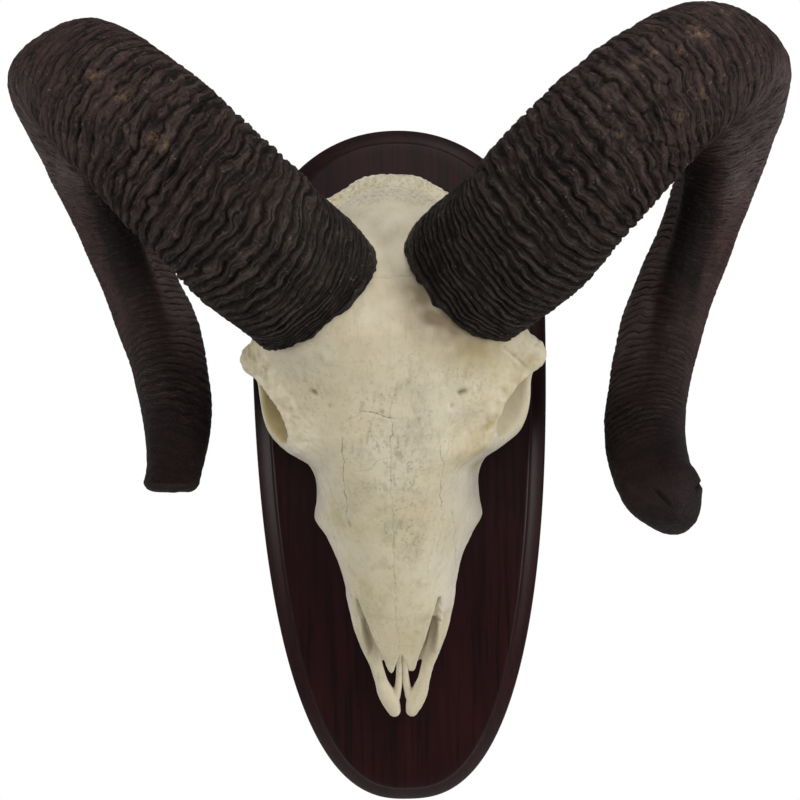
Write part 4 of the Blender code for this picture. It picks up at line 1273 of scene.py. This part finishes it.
def ridge_relief(flat, along, angle, length, horn):
    """The growth ridges at each point: (lift in mm, height, groove with painted shade and cracks, painted
    sheen and shade, mm along as they run).
    """
    shape, seed = (len(along), len(angle)), horn["seed"]
    far, turn = along[:, None] / length, angle[None]

    def rough(size, number):
        return noise(flat, size, seed + number).reshape(shape)

    # the lines along which the ridges run: they wander, and hook back in the curl
    wander = lumps(flat, RIDGE_WANDER, seed).reshape(shape) * (0.85 + 0.15 * smooth_step(0.06, 0.24, far))
    hook = 7.0 * facing(turn, 180, 120) * smooth_step(0.1, 0.4, far)
    hook *= 1 - 0.6 * smooth_step(0.6, 0.75, far)
    grown = along[:, None] + wander + hook + 4.0 * np.sin(turn) * smooth_step(0.6, 0.2, far)
    count = np.cumsum(RING_STEP / curve(RIDGE_SPACING, along / length))
    phase = np.interp(grown.ravel(), along, count).reshape(shape)
    # how strong they are
    calm = facing(turn, 115, 130) * smooth_step(0.35, 0.6, far) * (1 - 0.6 * smooth_step(0.72, 0.82, far))
    fade = np.clip(0.85 + 0.75 * rough(13, 5), 0.3, 1) * (1 - 0.76 * calm)
    coarse = sharp_valley(phase, curve(RIDGE_FLATNESS, along / length)[:, None])
    fine = sharp_valley(phase * 2.2 + 0.8 * rough(7, 7), 1.6)
    crack = np.max([strength * cracks(along, angle, size, seed + n) for size, strength, n in CRACKS], 0)
    crack *= band(far, 0.08, 0.2, 0.45, 0.65) * (1 - 0.8 * calm)
    split = np.clip(rough(3.2, 9), -1, 1)
    height = fade * coarse + 0.18 * (fine - 0.5) + 0.20 * split + 0.55 * (1 - fade) - 0.40 * crack
    height += 0.10 * rough(1.9, 10) * smooth_step(0.6, 0.4, far)
    # how much shade is painted in the valleys, and the cracks
    groove_shade_and_cracks = smooth_step(0.2, 0.85, 1 - coarse) * fade + 0.3 * (1 - fine) * fade + 0.9 * crack
    # the plain end
    size = curve(RIDGE_SIZE, along / length)[:, None]
    end = smooth_step(horn["ridges_until"] - 0.05, horn["ridges_until"] + 0.03, far)
    lift = size * (height - 0.72) * (1 - end) - 0.2 * size * end
    height = height * (1 - end) + 0.5 * end
    groove_shade_and_cracks = groove_shade_and_cracks * (1 - 0.85 * end)
    return lift, np.clip(height, 0, 1), np.clip(groove_shade_and_cracks, 0, 1), painted_sheen_and_shade(turn, far, rough), grown


def evened(ring):
    """A ring of points whose small waves are evened out."""
    for _ in range(TIP_EVENING):
        ring = (ring + np.roll(ring, 1, 0) + np.roll(ring, -1, 0)) / 3
    return ring


def nicked(points, faces, nicks):
    """(the points in metres, pushed in along the cuts, and how deep each is pushed in, in mm)."""
    normals = vertex_normals(points, faces)
    depth = np.zeros(len(points))
    for one, two, width, deep in nicks:
        one, way = np.array(one) * MM, (np.array(two) - np.array(one)) * MM
        share = np.clip((points - one) @ way / (way @ way), 0, 1)
        off = (points - one - share[:, None] * way) * NICK_REACH
        depth = np.maximum(depth, deep * bell(np.linalg.norm(off, axis=1), width * MM))
    return points - normals * depth[:, None] * MM, depth


def plain_horn(horn):
    """A horn without its ridges and tip: its points (rings, sides, 3), centres and directions."""
    centres, outs, along, length = horn_spine(horn)
    tangents = unit(np.gradient(centres, axis=0))
    outs = unit(outs - np.sum(outs * tangents, 1, keepdims=True) * tangents)
    sideways = np.cross(tangents, outs) * horn["side"]
    angle = np.arange(RING_SIDES) * 2 * math.pi / RING_SIDES
    ways = np.sin(angle)[None, :, None] * sideways[:, None] + np.cos(angle)[None, :, None] * outs[:, None]
    share = along / length
    girth = curve(list(zip(GIRTH_STOPS, horn["girths"])), share)
    edges = curve(EDGE_SHARES, share)[:, None] * np.cos(LONG_EDGES * angle)[None]
    flat_until = horn["flat_until"]
    flattened = horn["flattening"] * band(share, 0.46, 0.56, flat_until - 0.08, flat_until + 0.06)
    section = 1 - edges - flattened[:, None] * facing(angle, *FLAT_SIDE)[None]
    points = centres[:, None] + (girth[:, None] * section)[..., None] * ways
    return SimpleNamespace(points=points, centres=centres, tangents=tangents, ways=ways, angle=angle,
                           along=along, length=length, share=share)


def rag_rim(body, seed):
    """Makes the open end ragged."""
    near_rim = np.clip(1 - body.along / RIM_RAG_UP_TO, 0, 1)[:, None]
    rag = lumps(body.points[0] / MM, RIM_RAG, seed)[None] + RIM_LOWERED
    body.points = body.points - (near_rim * rag)[..., None] * MM * body.tangents[:, None]


def worn_patches(flat, horn):
    """How worn each point is, from 0 to 1."""
    worn = np.zeros(len(flat))
    for where, size in horn["worn"]:
        away = np.linalg.norm(flat - np.array(where), axis=1) / size
        worn += np.clip(1 - away**2, 0, 1) * (0.5 + noise(flat, 3.0, horn["seed"] + 30))
    return np.clip(worn, 0, 1)


def lean_tip(body, horn):
    """Slants the last part, makes its end level, draws it out and moves it to the midline."""
    off = body.points - body.centres[:, None]
    tangents = body.tangents[:, None]
    skew = horn["tip_skew"] * smooth_step(0.9, 1, body.share)[:, None] * off[..., 0]
    level = smooth_step(0.84, 1, body.share)[:, None]
    above = off[..., 2] / np.maximum(-tangents[..., 2], 0.3)
    push = level * (horn["tip_level"] * above + horn["tip_longer"])
    body.points = body.points + skew[..., None] * tangents + push[..., None] * (tangents * (0, 1, 1))
    body.points[..., 0] -= horn["side"] * horn["tip_inwards"] * level


def tip_rings(body, horn):
    """The rings that round off the end."""
    level, roundness = horn["tip_level"], horn["tip_roundness"]
    last = body.points[-1].mean(0)
    way = unit(body.tangents[-1] * (1 - level) + np.array([0, 0, -level]))
    rough = body.points[-1] - last
    even = evened(rough)
    rings = []
    for n in range(1, TIP_RINGS + 1):
        turn = math.pi / 2 * n / TIP_RINGS
        reach = horn["girths"][-1] * roundness * math.sin(turn)
        narrow = math.cos(turn) ** roundness if n < TIP_RINGS else 0.0
        ring = even + (rough - even) * (1 - n / TIP_RINGS) ** 3
        rings.append(last + way * reach + ring * narrow)
    return rings


def rim_rings(body):
    """The rings of the open end's thickness, and of a little of the inside."""
    first, way, inwards = body.points[0], body.tangents[0], -body.ways[0]
    return [first + way * depth * MM + inwards * wall * MM for depth, wall in RIM_RINGS]


def build_horn(name, horn, surface):
    """One sheath: the plain horn, then ridges, worn patches, tip, rim, knobs and nicks."""
    seed = horn["seed"]
    body = plain_horn(horn)
    rag_rim(body, seed)
    flat = body.points.reshape(-1, 3) / MM
    relief = ridge_relief(flat, body.along, body.angle, body.length, horn)
    lift = relief[0]
    broad = lumps(flat, BROAD_LUMPS, seed).reshape(lift.shape)
    broad *= (smooth_step(0, 0.2, body.share) * (1 - 0.7 * smooth_step(0.85, 1, body.share)))[:, None]
    body.points = body.points + ((lift + broad) * MM)[..., None] * body.ways
    lean_tip(body, horn)
    inside, tips = rim_rings(body), tip_rings(body, horn)
    pad = ((len(inside), len(tips)), (0, 0))
    worn = worn_patches(flat, horn).reshape(lift.shape)
    height, groove_shade_and_cracks, sheen_and_shade, grown, worn = (np.pad(a, pad, "edge").ravel() for a in (*relief[1:], worn))
    points = np.concatenate([inside, body.points, tips])
    count, sides = points.shape[:2]
    faces = ring_faces(count, sides)
    if horn["side"] < 0:
        faces = faces[:, ::-1]
    points = points.reshape(-1, 3)
    far = np.repeat(np.arange(count) / count, sides)
    knobs = smooth_step(0.9, 0.97, far) * lumps(points / MM, TIP_LUMPS, seed)
    points = points + vertex_normals(points, faces) * knobs[:, None] * MM
    points, cut = nicked(points, faces, horn["nicks"])
    attributes = {
        # groove holds painted shade in the valleys and the cracks; pale is a painted sheen; dark is painted
        # shade on the side in the curl
        "far": far, "height": height, "worn": worn, "groove_shade_and_cracks": np.clip(groove_shade_and_cracks + cut * 0.25, 0, 1),
        "pale": np.clip(sheen_and_shade, 0, 1), "dark": np.clip(-horn["shaded_side"] * sheen_and_shade, 0, 1),
        # the horn unrolled onto a cylinder, along which strands and rings are drawn
        "drum_x": np.tile(UNROLLED_RADIUS * MM * np.cos(body.angle), count),
        "drum_y": np.tile(UNROLLED_RADIUS * MM * np.sin(body.angle), count),
        "drum_z": np.repeat(np.arange(count) * RING_STEP * MM, sides), "grown": grown * MM,
    }
    obj = make_mesh(name + "_sheath", points, faces, surface, attributes)
    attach(obj, "root")
    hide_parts(name)


# ---------------------------------------------------------------- plaque
def plaque_outline(inset):
    """The egg's outline (n, 2) in (x, z), drawn in by inset."""
    half = PLAQUE_WIDTH / 2 - inset
    above = PLAQUE_HEIGHT / 2 - WIDEST_ABOVE_MIDDLE - inset
    below = PLAQUE_HEIGHT / 2 + WIDEST_ABOVE_MIDDLE - inset
    angle = 2 * math.pi * np.arange(PLAQUE_SIDES) / PLAQUE_SIDES
    x, z = np.cos(angle), np.sin(angle)
    power = 2 / np.where(z >= 0, TOP_BLUNTNESS, FOOT_BLUNTNESS)
    reach = np.where(z >= 0, above, below)
    return np.stack([half * np.sign(x) * np.abs(x) ** power,
                     WIDEST_ABOVE_MIDDLE + reach * np.sign(z) * np.abs(z) ** power], 1)


def ring_at(outline, depth):
    """An outline in (x, z) as points at some depth from the wall."""
    return np.stack([outline[:, 0], np.full(len(outline), -depth), outline[:, 1]], 1)


def flat_rings(inset, depth):
    """Rings that close a flat face from its outline inwards, down to a line along its middle."""
    outline = plaque_outline(inset)
    middle = np.array([0, WIDEST_ABOVE_MIDDLE * 0.5])
    shares = np.arange(1, FIELD_RINGS + 1) / FIELD_RINGS
    return [
        ring_at(middle + (outline - middle) * (1 - share, 1 - FIELD_LINE * share), depth)
        for share in shares
    ]


def slot_cutter(name, width, height, depth):
    """A solid that cuts an upright, round-ended slot into the plaque's back."""
    sides = SLOT_SIDES
    angle = 2 * math.pi * (np.arange(sides) + 0.5) / sides
    across, up = width / 2 * np.cos(angle), width / 2 * np.sin(angle)
    heights = HANGER_Z + up + np.sign(up) * (height - width) / 2
    points = [(x, y, z) for y in (SLOT_OVERSHOOT, -depth) for x, z in zip(across, heights)]
    walls = [(k, (k + 1) % sides, sides + (k + 1) % sides, sides + k) for k in range(sides)]
    mesh = bpy.data.meshes.new(name)
    mesh.from_pydata(points, [], [tuple(range(sides))[::-1], *walls, tuple(range(sides, 2 * sides))])
    return bpy.data.objects.new(name, mesh)


def carve(obj, cutters):
    """Cuts the cutters out of obj for good."""
    for cutter in cutters:
        bpy.context.scene.collection.objects.link(cutter)
        cut = obj.modifiers.new(cutter.name, "BOOLEAN")
        cut.operation, cut.solver, cut.object = "DIFFERENCE", "EXACT", cutter
    graph = bpy.context.evaluated_depsgraph_get()
    mesh = bpy.data.meshes.new_from_object(obj.evaluated_get(graph))
    obj.modifiers.clear()
    obj.data = mesh
    for cutter in cutters:
        bpy.data.objects.remove(cutter)


def build_plaque(surface):
    """The board: rings from the middle of its back, round its edge, to the middle of its front."""
    edge = [ring_at(plaque_outline(inset * MM), depth * MM) for inset, depth in PLAQUE_PROFILE]
    back = flat_rings(PLAQUE_PROFILE[0][0] * MM, 0)[::-1]
    front = flat_rings(PLAQUE_PROFILE[-1][0] * MM, PLAQUE_THICKNESS)
    points = np.concatenate([*back, *edge, *front])
    faces = ring_faces(len(points) // PLAQUE_SIDES, PLAQUE_SIDES)[:, (0, 3, 2, 1)]
    obj = make_mesh("plaque_board", points, faces, surface)
    obj.data.set_sharp_from_angle(angle=math.radians(SHARP_ANGLE))
    carve(obj, [slot_cutter(*slot) for slot in BACK_SLOTS])
    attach(obj, "root")
    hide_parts("plaque")


# ---------------------------------------------------------------- stage
def make_camera():
    data = bpy.data.cameras.new("camera")
    data.lens = CAMERA_LENS
    data.sensor_width = CAMERA_SENSOR
    camera = bpy.data.objects.new("camera", data)
    camera.location = CAMERA_AT
    turn = Matrix.Rotation(math.radians(90), 4, "X") @ Matrix.Rotation(math.radians(-CAMERA_ROLL), 4, "Z")
    camera.rotation_euler = turn.to_euler()
    bpy.context.scene.collection.objects.link(camera)
    bpy.context.scene.camera = camera


def add_area_light(name, at, size, power):
    data = bpy.data.lights.new(name, "AREA")
    data.shape = "RECTANGLE"
    data.size, data.size_y = size
    data.energy = power
    light = bpy.data.objects.new(name, data)
    light.location = at
    light.rotation_euler = (-Vector(at)).to_track_quat("-Z", "Y").to_euler()
    bpy.context.scene.collection.objects.link(light)


def make_world():
    """A pale surround that lights softly."""
    world = bpy.data.worlds.new("surround")
    world.use_nodes = True
    bpy.context.scene.world = world
    tree = world.node_tree
    background = tree.nodes["Background"]
    background.inputs["Color"].default_value = (0.95, 0.95, 0.96, 1)
    background.inputs["Strength"].default_value = WORLD_GLOW
    seen = tree.nodes.new("ShaderNodeBackground")
    seen.inputs["Color"].default_value = (1, 1, 1, 1)
    path = tree.nodes.new("ShaderNodeLightPath")
    mix = tree.nodes.new("ShaderNodeMixShader")
    tree.links.new(path.outputs["Is Camera Ray"], mix.inputs[0])
    tree.links.new(background.outputs[0], mix.inputs[1])
    tree.links.new(seen.outputs[0], mix.inputs[2])
    tree.links.new(mix.outputs[0], tree.nodes["World Output"].inputs["Surface"])


def build_floor():
    """A round floor below the plaque."""
    angles = 2 * math.pi * np.arange(FLOOR_SIDES) / FLOOR_SIDES
    rim = [(FLOOR_RADIUS * math.cos(angle), FLOOR_RADIUS * math.sin(angle), 0) for angle in angles]
    mesh = bpy.data.meshes.new("floor")
    mesh.from_pydata(rim, [], [tuple(range(FLOOR_SIDES))])
    mesh.materials.append(floor_material())
    floor = bpy.data.objects.new("floor", mesh)
    floor.location = (0, 0, FLOOR_Z)
    bpy.context.scene.collection.objects.link(floor)


def main():
    make_camera()
    make_world()
    build_floor()
    for light in LIGHTS:
        add_area_light(*light)
    bpy.context.scene.view_settings.view_transform = "Standard"
    build_skull(bone_material())
    keratin = keratin_material()
    for name, horn in HORNS.items():
        build_horn(name, horn, keratin)
    build_plaque(mahogany_material())
    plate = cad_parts["hanger_plate"]
    plate.data.materials.clear()
    plate.data.materials.append(steel_material())


main()
